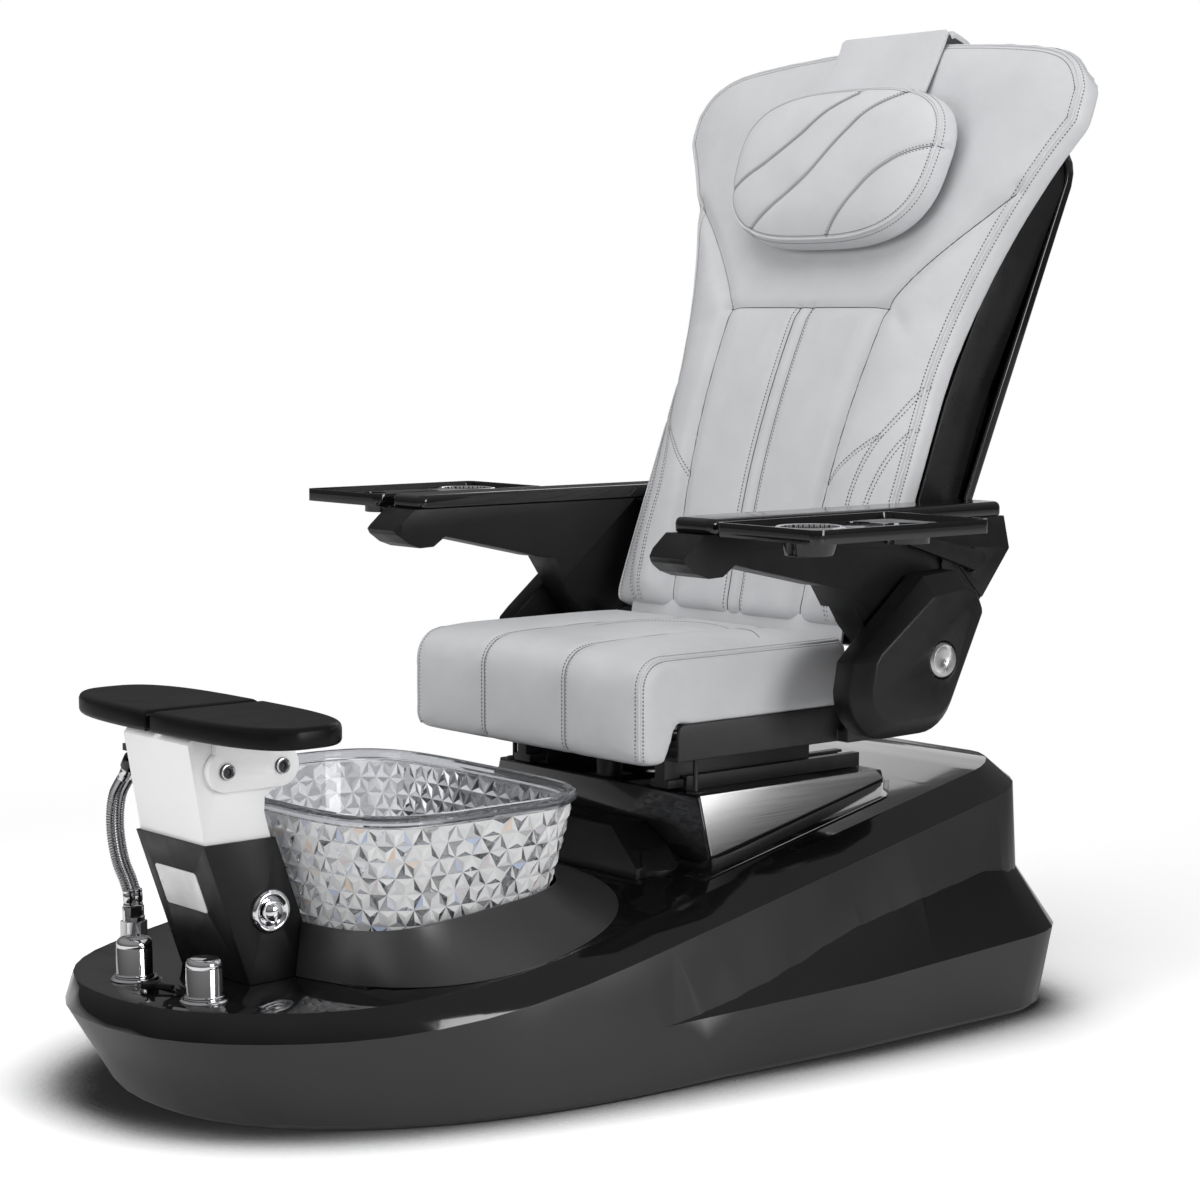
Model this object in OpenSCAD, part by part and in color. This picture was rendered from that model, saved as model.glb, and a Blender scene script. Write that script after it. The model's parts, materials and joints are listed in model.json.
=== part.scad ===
// Pedicure spa chair: a reclining massage chair on a sliding carriage, over a
// moulded base that carries a cut glass foot bowl and a telescoping foot rest.
// Millimetres. The sitter faces -Y, +X is the sitter's left, the floor is z = 0.

/* [Base] */
// Distance from the middle of the base to its front tip
base_front = 683; // [640:1:720]
// Distance from the middle of the base to its rear end
base_rear = 690; // [660:1:740]
// Half width of the front body at the floor
floor_half_w = 372; // [350:1:390]
// Half width of the front body under the bevel
bevel_half_w = 350; // [335:1:365]
// Half width of the deck
deck_half_w = 317; // [300:1:330]
// Half width of the rear plinth at its rim
plinth_half_w = 400; // [392:1:420]
// Height of the deck at the front
deck_front_z = 150; // [140:1:165]
// Rise of the deck per millimetre of run, behind the bowl
deck_slope = 0.208; // [0.18:0.002:0.23]
// Height of the bevel between deck and side wall
bevel_drop = 35; // [25:1:45]
// Wall of the moulded body
base_wall = 5; // [4:0.5:6]
// Thickness of the floor pan
pan_t = 5; // [3:0.5:8]
// Height of the chassis tubes
chassis_tube = 30; // [20:1:40]

/* [Foot bowl] */
// Half width of the bowl at its lip
bowl_a = 262; // [235:1:270]
// Half length of the bowl at its lip
bowl_b = 196; // [180:1:200]
// Place of the bowl's centre, front to back
bowl_y = -262; // [-266:1:-255]
// Height of the lip
bowl_top_z = 372; // [355:1:385]
// Height of the outside of the bowl's floor
bowl_floor_z = 156; // [153:1:165]
// Glass thickness
glass_t = 8; // [6:0.5:10]
// Radius of the drain hole
drain_hole_r = 26; // [22:1:30]
// Travel of the drain stopper
stopper_lift = 10; // [6:1:14]

/* [Foot column] */
// Half width of the column housing
column_half_w = 80; // [72:1:84]
// Depth of the column housing, front to back
column_depth = 104; // [96:1:108]
// Top of the column housing
column_top_z = 333; // [310:1:345]
// Forward lean of the column, degrees
column_lean = 19.3; // [17:0.1:21]
// Wall of the column housing
column_wall = 4; // [3:0.5:6]
// Half length of the pair of foot pads
pads_half_l = 243; // [225:1:255]
// Half depth of the foot pads
pads_half_d = 84; // [76:1:90]
// Underside of the foot pads
pads_z = 467; // [460:1:480]
// Thickness of the foot pads
pad_t = 27; // [20:1:34]

/* [Taps and spray] */
// Diameter of the water knobs
tap_d = 50; // [44:1:54]
// Height of the water knobs
tap_h = 50; // [40:1:56]
// Diameter of one spray hose
hose_d = 12.5; // [10:0.5:13]

/* [Seat] */
// Half width of the seat cushion
seat_half_w = 250; // [235:1:285]
// Height of the seat cushion's top
seat_top_z = 536; // [528:1:538]
// Underside of the seat cushion over its frame
seat_under_z = 444; // [440:1:452]
// Half width of the pedestal box
pedestal_half_w = 215; // [205:1:222]
// Top of the pedestal box
pedestal_top_z = 337; // [333:1:340]
// Rearward travel of the seat
seat_travel = 80; // [40:1:90]
// Height of the axis that carries the arms and the back
pivot_z = 516; // [512:1:520]
// Place of that axis, front to back
pivot_y = 388; // [386:1:392]
// Diameter of the pivot shafts
shaft_d = 24; // [20:1:28]

/* [Arms and trays] */
// Gap between the seat cushion and an arm
arm_gap = 22; // [21:1:28]
// Width of an arm
arm_w = 74; // [70:1:76]
// Top of the arm pads
arm_top_z = 720; // [712:1:730]
// Thickness of the arm pads
arm_pad_t = 20; // [16:1:24]
// Width of a tray
tray_w = 186; // [170:1:200]
// Length of a tray
tray_l = 312; // [300:1:330]
// Height of a tray's edge
tray_h = 18; // [15:1:20]
// Radius of the main cup holder
cup_r = 40; // [36:1:42]
// Depth of the main cup holder
cup_depth = 32; // [26:1:40]

/* [Back] */
// Lean of the back from upright, degrees
back_lean = 21.1; // [20:0.1:22]
// Length of the back cushion along its slope
back_l = 893; // [860:1:910]
// Gap between the back cushion and an arm
waist_gap = 4; // [3:1:10]
// Half width of the back at its shoulders
back_shoulder = 402; // [380:1:410]
// Depth of the light cushion
cushion_t = 46; // [42:1:48]
// Depth of the black body behind the cushion
body_t = 76; // [70:1:84]
// Depth of the rear cover
cover_t = 46; // [40:1:52]
// Half width of the headrest pillow
pillow_half_w = 208; // [190:1:215]
// Thickness of the headrest pillow
pillow_t = 64; // [50:1:70]

/* [Hidden] */

$fn = 48;
// Smallest gap between pieces that move past each other
gap = 0.5;
// Radial clearance of a shaft in its hole
run_fit = 0.05;
// Gap between soft pieces and their neighbours
soft_gap = 1;
// Overlap that lets a cut run clean through a face
cut = 1;

// ---- Helpers ----
function mix(a, b, t) = a + (b - a) * t;
function signed_pow(v, p) = sign(v) * pow(abs(v), p);
// Point of a superellipse with half axes a and b
function super_point(a, b, n, angle) =
    [a * signed_pow(cos(angle), 2 / n), b * signed_pow(sin(angle), 2 / n)];
// A ring of such points, in mirrored pairs about the Y axis
function super_ring(a, b, n, count) =
    [for (k = [0:count - 1]) super_point(a, b, n, -90 + (k + 0.5) * 360 / count)];
// Right-hand points of a ring, followed by their mirror images in reverse
function mirrored(right) =
    concat(right, [for (k = [len(right) - 1:-1:0]) [-right[k].x, right[k].y, right[k].z]]);
function lift_ring(ring, z) = [for (p = ring) [p.x, p.y, z]];

// Triangles between ring number low and ring number high
function wall_faces(low, high, n) = [for (i = [0:n - 1], half = [0, 1])
    let(a = low * n + i, b = low * n + (i + 1) % n,
        c = high * n + (i + 1) % n, d = high * n + i)
    half == 0 ? [a, c, b] : [a, d, c]];
// Triangles that close a ring with strips between its mirrored points
function strip_faces(ring, n, up) = [for (i = [0:n / 2 - 2], half = [0, 1])
    let(a = ring * n + i, b = a + 1, c = ring * n + n - 2 - i, d = c + 1,
        face = half == 0 ? [a, b, c] : [a, c, d])
    if (!(half == 0 && b == c)) up ? [face[0], face[2], face[1]] : face];

// Solid through a stack of rings, closed at both ends
module loft(rings) {
    n = len(rings[0]);
    last = len(rings) - 1;
    polyhedron(
        points = [for (ring = rings) each ring],
        faces = concat(
            strip_faces(0, n, false),
            [for (k = [0:last - 1]) each wall_faces(k, k + 1, n)],
            strip_faces(last, n, true)));
}

// Solid through rings that lead back to the first, such as a collar
module loft_collar(rings) {
    n = len(rings[0]);
    polyhedron(
        points = [for (ring = rings) each ring],
        faces = [for (k = [0:len(rings) - 1]) each wall_faces(k, (k + 1) % len(rings), n)]);
}

// Extrudes a (y, z) profile from x0 to x1
module along_x(x0, x1) {
    translate([x0, 0, 0]) rotate([90, 0, 90]) linear_extrude(x1 - x0) children();
}

// Cylinder along X from x0 to x1, centred on (y, z)
module rod_x(x0, x1, y, z, r) {
    translate([x0, y, z]) rotate([0, 90, 0]) cylinder(r = r, h = x1 - x0);
}

// Box between two corners
module box(low, high) {
    translate(low) cube(high - low);
}

// Rounded rectangle centred on the origin
module rounded_rect(w, l, r) {
    hull() for (sx = [-1, 1], sy = [-1, 1])
        translate([sx * (w / 2 - r), sy * (l / 2 - r)]) circle(r);
}

module both_sides() {
    children();
    mirror([1, 0, 0]) children();
}

// ---- Base ----
bend_y = -359;
bend_half = 170;
// Height of the deck: level in front, a smooth bend, then a steady slope
function deck_z(y) = let(t = y - bend_y)
    deck_front_z + deck_slope * (t < -bend_half ? 0
        : t < bend_half ? (t + bend_half) * (t + bend_half) / (4 * bend_half) : t);

round_n = 2.3;
front_steps = 14;
side_steps = 10;
corner_steps = 6;
// Right-hand plan outline: front curve, side, rear corner; x at the rear may differ
function plan_right(a, front, y_wide, rear, corner, a_rear) = concat(
    [for (k = [0:front_steps - 1])
        let(p = super_point(a, y_wide - front, round_n, -90 + (k + 0.4) * 90 / front_steps))
        [p.x, y_wide + p.y]],
    [for (k = [0:side_steps])
        [mix(a, a_rear, k / side_steps), mix(y_wide, rear - corner, k / side_steps)]],
    [for (k = [1:corner_steps]) let(angle = k * 90 / corner_steps)
        [a_rear - corner + corner * cos(angle), rear - corner + corner * sin(angle)]]);

foot_chamfer = 7;
body_rear = 640;
function floor_plan(inset) = plan_right(floor_half_w - inset, -base_front + 71 + inset, 0,
    body_rear - inset, 90, floor_half_w - inset);
function bevel_plan(inset) = plan_right(bevel_half_w - inset, -base_front + inset, -50,
    body_rear - inset, 85, bevel_half_w - inset);
function deck_plan(inset) = plan_right(deck_half_w - inset, -base_front + 11 + inset, -150,
    body_rear - 25 - inset, 70, deck_half_w - inset - 4);
function flat_ring(plan, z) = mirrored([for (p = plan) [p.x, p.y, z]]);
function deck_ring(plan, drop) = mirrored([for (p = plan) [p.x, p.y, deck_z(p.y) - drop]]);

// Front body; depth makes the same form smaller all round, for its inside
module front_body(depth) {
    bottom = depth > 0 ? -cut : 0;
    loft([
        flat_ring(floor_plan(depth + foot_chamfer), bottom),
        flat_ring(floor_plan(depth > 0 ? depth + 2 : 0), foot_chamfer),
        deck_ring(bevel_plan(depth), bevel_drop),
        deck_ring(deck_plan(depth), depth)]);
}

plinth_front = -300;
plinth_start = -210;
facet_slope = 0.183;
facet_z = 82;
rim_slope = 0.046;
rim_z = 75;
plinth_corner = 110;
// Rear plinth: its rim swells out of the front body and runs round the back
function rim_x(y) = min(345 + (y - plinth_start) * 0.12, plinth_half_w);
function plinth_right(inset, undercut, rear) = let(r = plinth_corner) concat(
    [[200, plinth_front], [300 - inset, plinth_front + 40]],
    [for (k = [0:12]) let(y = mix(plinth_start, rear - r, k / 12))
        [rim_x(y) - inset - undercut * max(0, rim_x(y) - 372) / 28, y]],
    [for (k = [1:corner_steps]) let(angle = k * 90 / corner_steps)
        [plinth_half_w - inset - undercut - r + r * cos(angle), rear - r + r * sin(angle)]]);
function rim_height(y) = rim_z + (y - plinth_start) * rim_slope;
function facet_height(y) = facet_z + (y - plinth_start) * facet_slope;

module rear_plinth(depth) {
    bottom = depth > 0 ? -cut : 0;
    foot = depth + foot_chamfer;
    loft([
        flat_ring(plinth_right(foot, 14, base_rear - 14 - foot), bottom),
        flat_ring(plinth_right(depth > 0 ? depth + 2 : 0, 14, base_rear - 14 - depth),
            foot_chamfer),
        mirrored([for (p = plinth_right(depth, 0, base_rear - depth))
            [p.x, p.y, rim_height(p.y) - depth / 2]]),
        mirrored([for (p = plinth_right(48 + depth, 0, base_rear - 60 - depth))
            [p.x, p.y, facet_height(p.y) - depth]])]);
}

well_a = 225;
well_b = 170;
module deck_well(grow, low, high) {
    translate([0, bowl_y, low]) linear_extrude(high - low)
        polygon(super_ring(well_a + grow, well_b + grow, 3, 48));
}

module base_shell() {
    color([0.09, 0.09, 0.1])
    difference() {
        union() {
            front_body(0);
            rear_plinth(0);
        }
        front_body(base_wall);
        rear_plinth(base_wall);
        deck_well(0, 100, 300);
        // holes for the stems of the knobs and of the drain lever
        for (pos = [hot_pos, cold_pos]) translate([pos.x, pos.y, deck_front_z - 20])
            cylinder(r = tap_stem_r + 1, h = 30);
        translate([lever_pos.x, lever_pos.y, deck_front_z - 20])
            cylinder(r = lever_stem_r + run_fit, h = 30);
    }
}

pan_inset = base_wall + foot_chamfer + 0.3;
module base_pan() {
    color([0.35, 0.36, 0.38])
    linear_extrude(pan_t) polygon([for (p = flat_ring(floor_plan(pan_inset), 0)) [p.x, p.y]]);
}

frame_x = 190;
frame_front = -480;
frame_back = 560;
post_w = 40;
module chassis_frame() {
    color([0.25, 0.26, 0.28])
    translate([0, 0, pan_t]) {
        for (sx = [-1, 1]) {
            box([sx * frame_x - chassis_tube / 2, frame_front, 0],
                [sx * frame_x + chassis_tube / 2, frame_back, chassis_tube]);
            for (y = [170, 430])
                box([sx * 150 - post_w / 2, y - post_w / 2, 0],
                    [sx * 150 + post_w / 2, y + post_w / 2,
                        deck_z(y - post_w / 2) - base_wall - gap - pan_t]);
        }
        for (y = [frame_front, 170, 430, frame_back])
            box([-frame_x, y - chassis_tube / 2, 0], [frame_x, y + chassis_tube / 2, chassis_tube]);
    }
}

// ---- Foot bowl ----
ring_steps = 48;
ring_t = 5;
ring_foot_a = 312;
ring_foot_b = 235;
ring_foot_y = -215;
ring_top_gap = 3;
// Outline of the glass at height z
bowl_lip_h = 16;
bowl_waist_z = 240;
bowl_base_a = 196;
bowl_base_b = 138;
function bowl_span(z) = (z - bowl_floor_z) / (bowl_top_z - bowl_floor_z);
function bowl_outline(z, inset) = let(t = pow(bowl_span(z), 0.62))
    [for (p = super_ring(mix(bowl_base_a, bowl_a - 6, t) - inset,
            mix(bowl_base_b, bowl_b - 6, t) - inset, mix(3.2, 4.2, t), ring_steps))
        [p.x, p.y + bowl_y, z]];
function bowl_lip(grow, z) = [for (p = super_ring(bowl_a + grow, bowl_b + grow, 4.2, ring_steps))
    [p.x, p.y + bowl_y, z]];

module bowl_ring() {
    // top edge of the ring rises gently towards the seat
    outer_top = [for (p = bowl_outline(bowl_waist_z, -ring_top_gap - ring_t))
        [p.x, p.y, 240 + 0.1 * (p.y + 250)]];
    inner_top = [for (p = bowl_outline(bowl_waist_z + 12, -ring_top_gap))
        [p.x, p.y, 240 + 0.1 * (p.y + 250)]];
    foot = [for (p = super_ring(ring_foot_a, ring_foot_b, 2.3, ring_steps))
        [p.x, p.y + ring_foot_y, deck_z(p.y + ring_foot_y) + gap]];
    inner_foot = [for (p = super_ring(ring_foot_a - 12, ring_foot_b - 12, 2.3, ring_steps))
        [p.x, p.y + ring_foot_y, deck_z(p.y + ring_foot_y) + gap]];
    color([0.13, 0.13, 0.14])
    difference() {
        loft_collar([foot, outer_top, inner_top, inner_foot]);
        column_prism(gap, -cut, 400);
    }
}

module glass_bowl() {
    wall_z = [bowl_floor_z + 6, bowl_floor_z + 26, 210, 250, 300, bowl_top_z - bowl_lip_h];
    in_z = [bowl_top_z - bowl_lip_h, 300, 250, 210, bowl_floor_z + 30, bowl_floor_z + 14];
    color([0.8, 0.86, 0.9, 0.4])
    difference() {
        loft(concat(
            [lift_ring(bowl_outline(bowl_floor_z + 6, 10), bowl_floor_z)],
            [for (z = wall_z) bowl_outline(z, 0)],
            [bowl_lip(0, bowl_top_z - bowl_lip_h + 3), bowl_lip(0, bowl_top_z - 3),
                bowl_lip(-4, bowl_top_z), bowl_lip(-glass_t - 2, bowl_top_z),
                bowl_lip(-glass_t - 6, bowl_top_z - 5)],
            [for (z = in_z) bowl_outline(z, glass_t)],
            [lift_ring(bowl_outline(bowl_floor_z + 14, glass_t + 14), bowl_floor_z + glass_t)]));
        translate([0, bowl_y, 0]) cylinder(r = drain_hole_r, h = 300);
    }
}

drain_tube_r = 19;
module drain_flange() {
    color([0.8, 0.8, 0.82])
    translate([0, bowl_y, 0]) rotate_extrude() polygon([
        [drain_tube_r - 3, bowl_floor_z - 30], [drain_tube_r, bowl_floor_z - 30],
        [drain_tube_r, bowl_floor_z - 4], [drain_hole_r + 8, bowl_floor_z - 4],
        [drain_hole_r + 8, bowl_floor_z - gap], [drain_hole_r - gap, bowl_floor_z - gap],
        [drain_hole_r - gap, bowl_floor_z + glass_t + gap],
        [drain_hole_r + 10, bowl_floor_z + glass_t + gap],
        [drain_hole_r + 8, bowl_floor_z + glass_t + 3], [drain_tube_r - 3, bowl_floor_z + glass_t]]);
}

stem_r = 5;
module drain_stopper() {
    low = bowl_floor_z + glass_t + 4;
    color([0.8, 0.8, 0.82])
    translate([0, bowl_y, 0]) {
        translate([0, 0, low]) rotate_extrude() polygon([
            [0, 0], [drain_hole_r + 4, 0], [drain_hole_r + 3, 3], [drain_hole_r - 5, 6],
            [drain_hole_r - 16, 7.5], [0, 8]]);
        translate([0, 0, low - stopper_lift - 24]) cylinder(r = stem_r, h = stopper_lift + 25);
    }
}

pipe_r = 20;
module drain_pipe() {
    top = bowl_floor_z - 31;
    turn = 52;
    color([0.75, 0.75, 0.73])
    translate([0, bowl_y, 0]) difference() {
        union() {
            translate([0, 0, turn]) cylinder(r = pipe_r, h = top - turn);
            translate([0, 0, turn]) sphere(r = pipe_r);
            translate([0, 0, turn]) rotate([-90, 0, 0]) cylinder(r = pipe_r, h = 380);
        }
        translate([0, 0, turn]) cylinder(r = pipe_r - 2, h = top);
        translate([0, 0, turn]) rotate([-90, 0, 0]) cylinder(r = pipe_r - 2, h = 400);
    }
}

cover_half_w = 130;
module jet_cover() {
    // low hood between the bowl and the seat pedestal, with a lobe on each side
    front = 24;
    back = pedestal_front - 2;
    top = 290;
    color([0.06, 0.06, 0.07])
    difference() {
        union() {
            hull() {
                box([-cover_half_w - 60, front, 200], [cover_half_w + 60, back, 245]);
                box([-cover_half_w, front + 24, 200], [cover_half_w - 20, back, top]);
            }
            for (sx = [-1, 1]) hull() {
                translate([sx * 168, back - 42, 200]) cylinder(r = 42, h = 42);
                translate([sx * 150, back - 34, 200]) cylinder(r = 30, h = 64);
            }
        }
        translate([0, 0, gap]) front_body(0);
    }
}

module jet_pump() {
    color([0.3, 0.31, 0.33])
    translate([95, 30, pan_t]) {
        translate([0, 0, 60]) rotate([-90, 0, 0]) cylinder(r = 42, h = 110);
        translate([0, -34, 60]) rotate([-90, 0, 0]) cylinder(r = 55, h = 36);
        translate([0, -18, 100]) cylinder(r = 12, h = 46);
        box([-40, 10, 0], [40, 100, 26]);
    }
}

// ---- Foot column ----
column_deck_z = 150;
column_front_y = -576;
// Side profile of the leaning column, from z = low to z = high
function lean_y(y, z) = y + (column_top_z - z) * tan(column_lean);
module column_profile(grow, low, high, front, depth) {
    polygon([
        [lean_y(front, low) - grow, low], [lean_y(front, low) + depth + grow, low],
        [lean_y(front, high) + depth + grow, high], [lean_y(front, high) - grow, high]]);
}
module column_prism(grow, low, high) {
    along_x(-column_half_w - grow, column_half_w + grow)
        column_profile(grow, low, high, column_front_y, column_depth);
}

slide_fit = 0.4;
module column_housing() {
    color([0.12, 0.12, 0.13])
    difference() {
        column_prism(0, column_deck_z - 2, column_top_z);
        translate([0, 0, gap]) front_body(0);
        along_x(-column_half_w + column_wall, column_half_w - column_wall)
            column_profile(-column_wall, column_deck_z + 12, column_top_z + cut,
                column_front_y, column_depth);
        // pocket for the touch panel, and the hole for the knob's stem
        on_column_face() translate([panel_x, panel_y, -panel_t])
            linear_extrude(panel_t + cut) rounded_rect(panel_w + 2 * gap, panel_h + 2 * gap, 6);
        rod_x(column_half_w - column_wall - cut, column_half_w + cut, knob_y, knob_z, 9);
    }
}

panel_w = 96;
panel_h = 56;
panel_x = -13;
panel_y = -73;
panel_t = 2;
// Frame on the column's front face: X across, Y up the slope, Z out of the face
module on_column_face() {
    translate([0, column_front_y, column_top_z]) rotate([90 + column_lean, 0, 0]) children();
}
module touch_panel() {
    color([0.6, 0.6, 0.62])
    on_column_face() translate([panel_x, panel_y, -panel_t + 0.1])
        linear_extrude(panel_t + 0.6) rounded_rect(panel_w, panel_h, 5);
}

knob_y = -482;
knob_z = 241;
bezel_r = 28;
module knob_bezel() {
    color([0.82, 0.82, 0.84])
    translate([column_half_w + 0.1, knob_y, knob_z]) rotate([0, 90, 0]) rotate_extrude() polygon([
        [9, 0], [bezel_r, 0], [bezel_r, 3], [bezel_r - 4, 8], [bezel_r - 9, 8],
        [bezel_r - 13, 3], [9, 3]]);
}
module column_knob() {
    color([0.85, 0.85, 0.87])
    translate([column_half_w + 0.1, knob_y, knob_z]) rotate([0, 90, 0]) {
        translate([0, 0, -column_wall]) cylinder(r = 9 - run_fit, h = column_wall + 4);
        translate([0, 0, 3.5]) cylinder(r = 13, h = 9);
        translate([-12, -3, 8]) cube([24, 6, 10]);
    }
}

upper_half_w = 74;
upper_front = -594;
module column_upper() {
    inner_half = column_half_w - column_wall - slide_fit;
    shift = column_wall + slide_fit;
    bottom = 200;
    plate_top = pads_z - gap;
    low_cut = column_top_z - 32;
    color([0.93, 0.93, 0.93])
    difference() {
        union() {
            along_x(-inner_half, inner_half) difference() {
                column_profile(-shift, bottom, column_top_z, column_front_y, column_depth);
                // hollow tube below the rim
                column_profile(-shift - 5, bottom - cut, column_top_z - 30,
                    column_front_y, column_depth);
            }
            along_x(-inner_half, inner_half) polygon([
                [column_front_y + shift, column_top_z - cut],
                [column_front_y + column_depth - shift, column_top_z - cut],
                [column_front_y + column_depth - shift - 9, column_top_z + 32],
                [column_front_y + column_depth - shift - 8, column_top_z + 52],
                [column_front_y + column_depth + 10, column_top_z + 66],
                [column_front_y + column_depth + 14, plate_top - 8],
                [column_front_y + column_depth + 8, plate_top],
                [upper_front + 8, plate_top], [upper_front, plate_top - 8]]);
        }
        // hollow above the rim too, open to the tube below
        along_x(-inner_half + 5, inner_half - 5) polygon([
            [lean_y(column_front_y, low_cut) + shift + 6, low_cut],
            [lean_y(column_front_y, low_cut) + column_depth - shift - 6, low_cut],
            [column_front_y + column_depth - shift - 6, column_top_z - cut],
            [column_front_y + column_depth - shift - 15, column_top_z + 32],
            [column_front_y + column_depth - shift - 14, column_top_z + 54],
            [column_front_y + column_depth + 5, column_top_z + 69],
            [column_front_y + column_depth + 7, plate_top - 6], [upper_front + 7, plate_top - 6],
            [column_front_y + shift + 6, column_top_z - cut]]);
        for (y = bolt_y) rod_x(-100, 100, y, bolt_z, bolt_hole_r);
    }
}

bolt_y = [-546, -466];
bolt_z = 423;
bolt_r = 6;
bolt_hole_r = 6.1;
bolt_head_r = 10;
plate_r = 26;
plate_t = 11;
module pad_plates() {
    color([0.9, 0.9, 0.9])
    both_sides() {
        face = column_half_w - column_wall - slide_fit + 0.1;
        difference() {
            union() {
                hull() for (y = bolt_y) rod_x(face, face + plate_t, y, bolt_z, plate_r);
                box([face, bolt_y[0] - 14, bolt_z], [face + plate_t, bolt_y[1] + 14, pads_z - 5]);
            }
            for (y = bolt_y) rod_x(face - cut, face + plate_t + cut, y, bolt_z, bolt_hole_r);
        }
        // shelf that the pad rests on
        box([face, bolt_y[0] - 14, pads_z - 5], [190, bolt_y[1] + 14, pads_z - 0.3]);
    }
}

module plate_bolts() {
    face = column_half_w - column_wall - slide_fit + 0.1 + plate_t;
    color([0.3, 0.3, 0.32])
    both_sides() for (y = bolt_y) difference() {
        union() {
            rod_x(face + 0.1, face + 4, y, bolt_z, bolt_head_r);
            rod_x(face - 40, face + 0.5, y, bolt_z, bolt_r);
        }
        translate([face + 1.5, y, bolt_z]) rotate([0, 90, 0]) cylinder(r = 4.6, h = 5, $fn = 6);
    }
}

pads_y = -521;
pad_steps = 40;
pad_split = 5;
// One foot pad: half of a long rounded oval, with soft edges
function pad_ring(grow, z) = let(half = pad_steps / 2)
    [for (k = [0:pad_steps - 1])
        let(q = super_point(pads_half_l + grow - pad_split, pads_half_d + grow, 3,
                -90 + k * 180 / (pad_steps - 1)))
        [max(q.x, 0) + pad_split - grow * (q.x < 1 ? 1 : 0), q.y + pads_y, z]];
module foot_pad() {
    loft([pad_ring(-3, pads_z), pad_ring(0, pads_z + 4), pad_ring(0, pads_z + pad_t - 7),
        pad_ring(-2, pads_z + pad_t - 2.5), pad_ring(-7, pads_z + pad_t)]);
}
module left_foot_pad() { color([0.05, 0.05, 0.05]) foot_pad(); }
module right_foot_pad() { color([0.05, 0.05, 0.05]) mirror([1, 0, 0]) foot_pad(); }

// ---- Taps and spray ----
hot_pos = [-50, -599];
cold_pos = [103, -592];
flange_h = 3;
tap_stem_r = 8;
module tap_knob(pos) {
    color([0.8, 0.8, 0.82])
    translate([pos.x, pos.y, deck_front_z + flange_h + gap]) {
        rotate_extrude() polygon([
            [0, 0], [tap_d / 2, 0], [tap_d / 2 - 2.5, tap_h - 9], [tap_d / 2 - 5, tap_h - 3],
            [tap_d / 2 - 10, tap_h], [0, tap_h - 1]]);
        translate([0, 0, -flange_h - base_wall - 16]) cylinder(r = tap_stem_r, h = 30);
    }
}
module hot_knob() { tap_knob(hot_pos); }
module cold_knob() { tap_knob(cold_pos); }

module tap_flanges() {
    color([0.75, 0.75, 0.77])
    for (pos = [hot_pos, cold_pos]) translate([pos.x, pos.y, deck_front_z + 0.1])
        difference() {
            cylinder(r1 = tap_d / 2 + 6, r2 = tap_d / 2 + 3, h = flange_h - 0.1);
            translate([0, 0, -cut]) cylinder(r = tap_stem_r + 1, h = flange_h + 2 * cut);
        }
}

module valve_bodies() {
    color([0.75, 0.6, 0.3])
    for (pos = [hot_pos, cold_pos]) translate([pos.x, pos.y, 0]) difference() {
        union() {
            translate([0, 0, 60]) cylinder(r = 20, h = deck_front_z - base_wall - 60 - gap);
            translate([0, 0, 78]) rotate([-90, 0, 0]) cylinder(r = 11, h = 60);
        }
        translate([0, 0, 100]) cylinder(r = tap_stem_r + run_fit, h = 60);
    }
}

lever_pos = [7, -612];
lever_stem_r = 4;
module drain_lever() {
    color([0.1, 0.1, 0.1])
    translate([lever_pos.x, lever_pos.y, deck_front_z + 0.3]) {
        cylinder(r = 11, h = 7);
        rotate([0, 0, 27]) box([0, -3.5, 1], [34, 3.5, 6]);
        translate([0, 0, -base_wall - 20]) cylinder(r = lever_stem_r, h = base_wall + 21);
    }
}

// The hoses leave the nut, bow out sideways and rise to the spray head
hose_y = -530;
nut_x = -168;
hose_route = [[-169, 214], [-169.5, 226], [-181, 246], [-196, 264], [-206, 286], [-211, 310],
    [-210, 334], [-203, 356], [-190, 372], [-172.5, 388.7], [-166, 397]];
module hose_nut() {
    color([0.8, 0.8, 0.82])
    translate([nut_x, hose_y, deck_z(hose_y + 20) + 0.1]) {
        cylinder(r = 20, h = 5);
        cylinder(r = 17.5, h = 44, $fn = 6);
        cylinder(r = 14.5, h = 50);
    }
    color([0.8, 0.8, 0.82])
    hull() for (sy = [-1, 1])
        translate([nut_x - 1, hose_y + sy * (hose_d / 2 + 0.5), deck_front_z + 48])
            cylinder(r = hose_d / 2 + 2, h = 15);
}
module hose_tube(y) {
    sides = 12;
    n = len(hose_route);
    function tangent(k) = let(a = hose_route[max(k - 1, 0)], b = hose_route[min(k + 1, n - 1)])
        (b - a) / norm(b - a);
    rings = [for (k = [0:n - 1]) let(t = tangent(k), across = [t.y, -t.x])
        [for (i = [0:sides - 1]) let(angle = i * 360 / sides, r = hose_d / 2)
            [hose_route[k].x + across.x * r * cos(angle), y + r * sin(angle),
                hose_route[k].y + across.y * r * cos(angle)]]];
    loft(rings);
}
module spray_hoses() {
    color([0.7, 0.7, 0.72]) for (sy = [-1, 1]) hose_tube(hose_y + sy * (hose_d / 2 + 0.6));
}

// Frame on the end of the hoses, Z along the spray head
module on_spray_axis() {
    translate([-166, hose_y, 397]) rotate([0, 38, 0]) children();
}
module sprayer_head() {
    color([0.06, 0.06, 0.06])
    on_spray_axis() {
        translate([0, 0, 0.3]) {
            hull() for (sy = [-1, 1]) translate([0, sy * 5, 0]) cylinder(r = 11, h = 16);
        }
        translate([0, 0, 16]) cylinder(r1 = 11, r2 = 14, h = 22);
        translate([0, 0, 38]) cylinder(r1 = 14, r2 = 20, h = 20);
    }
}

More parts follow.
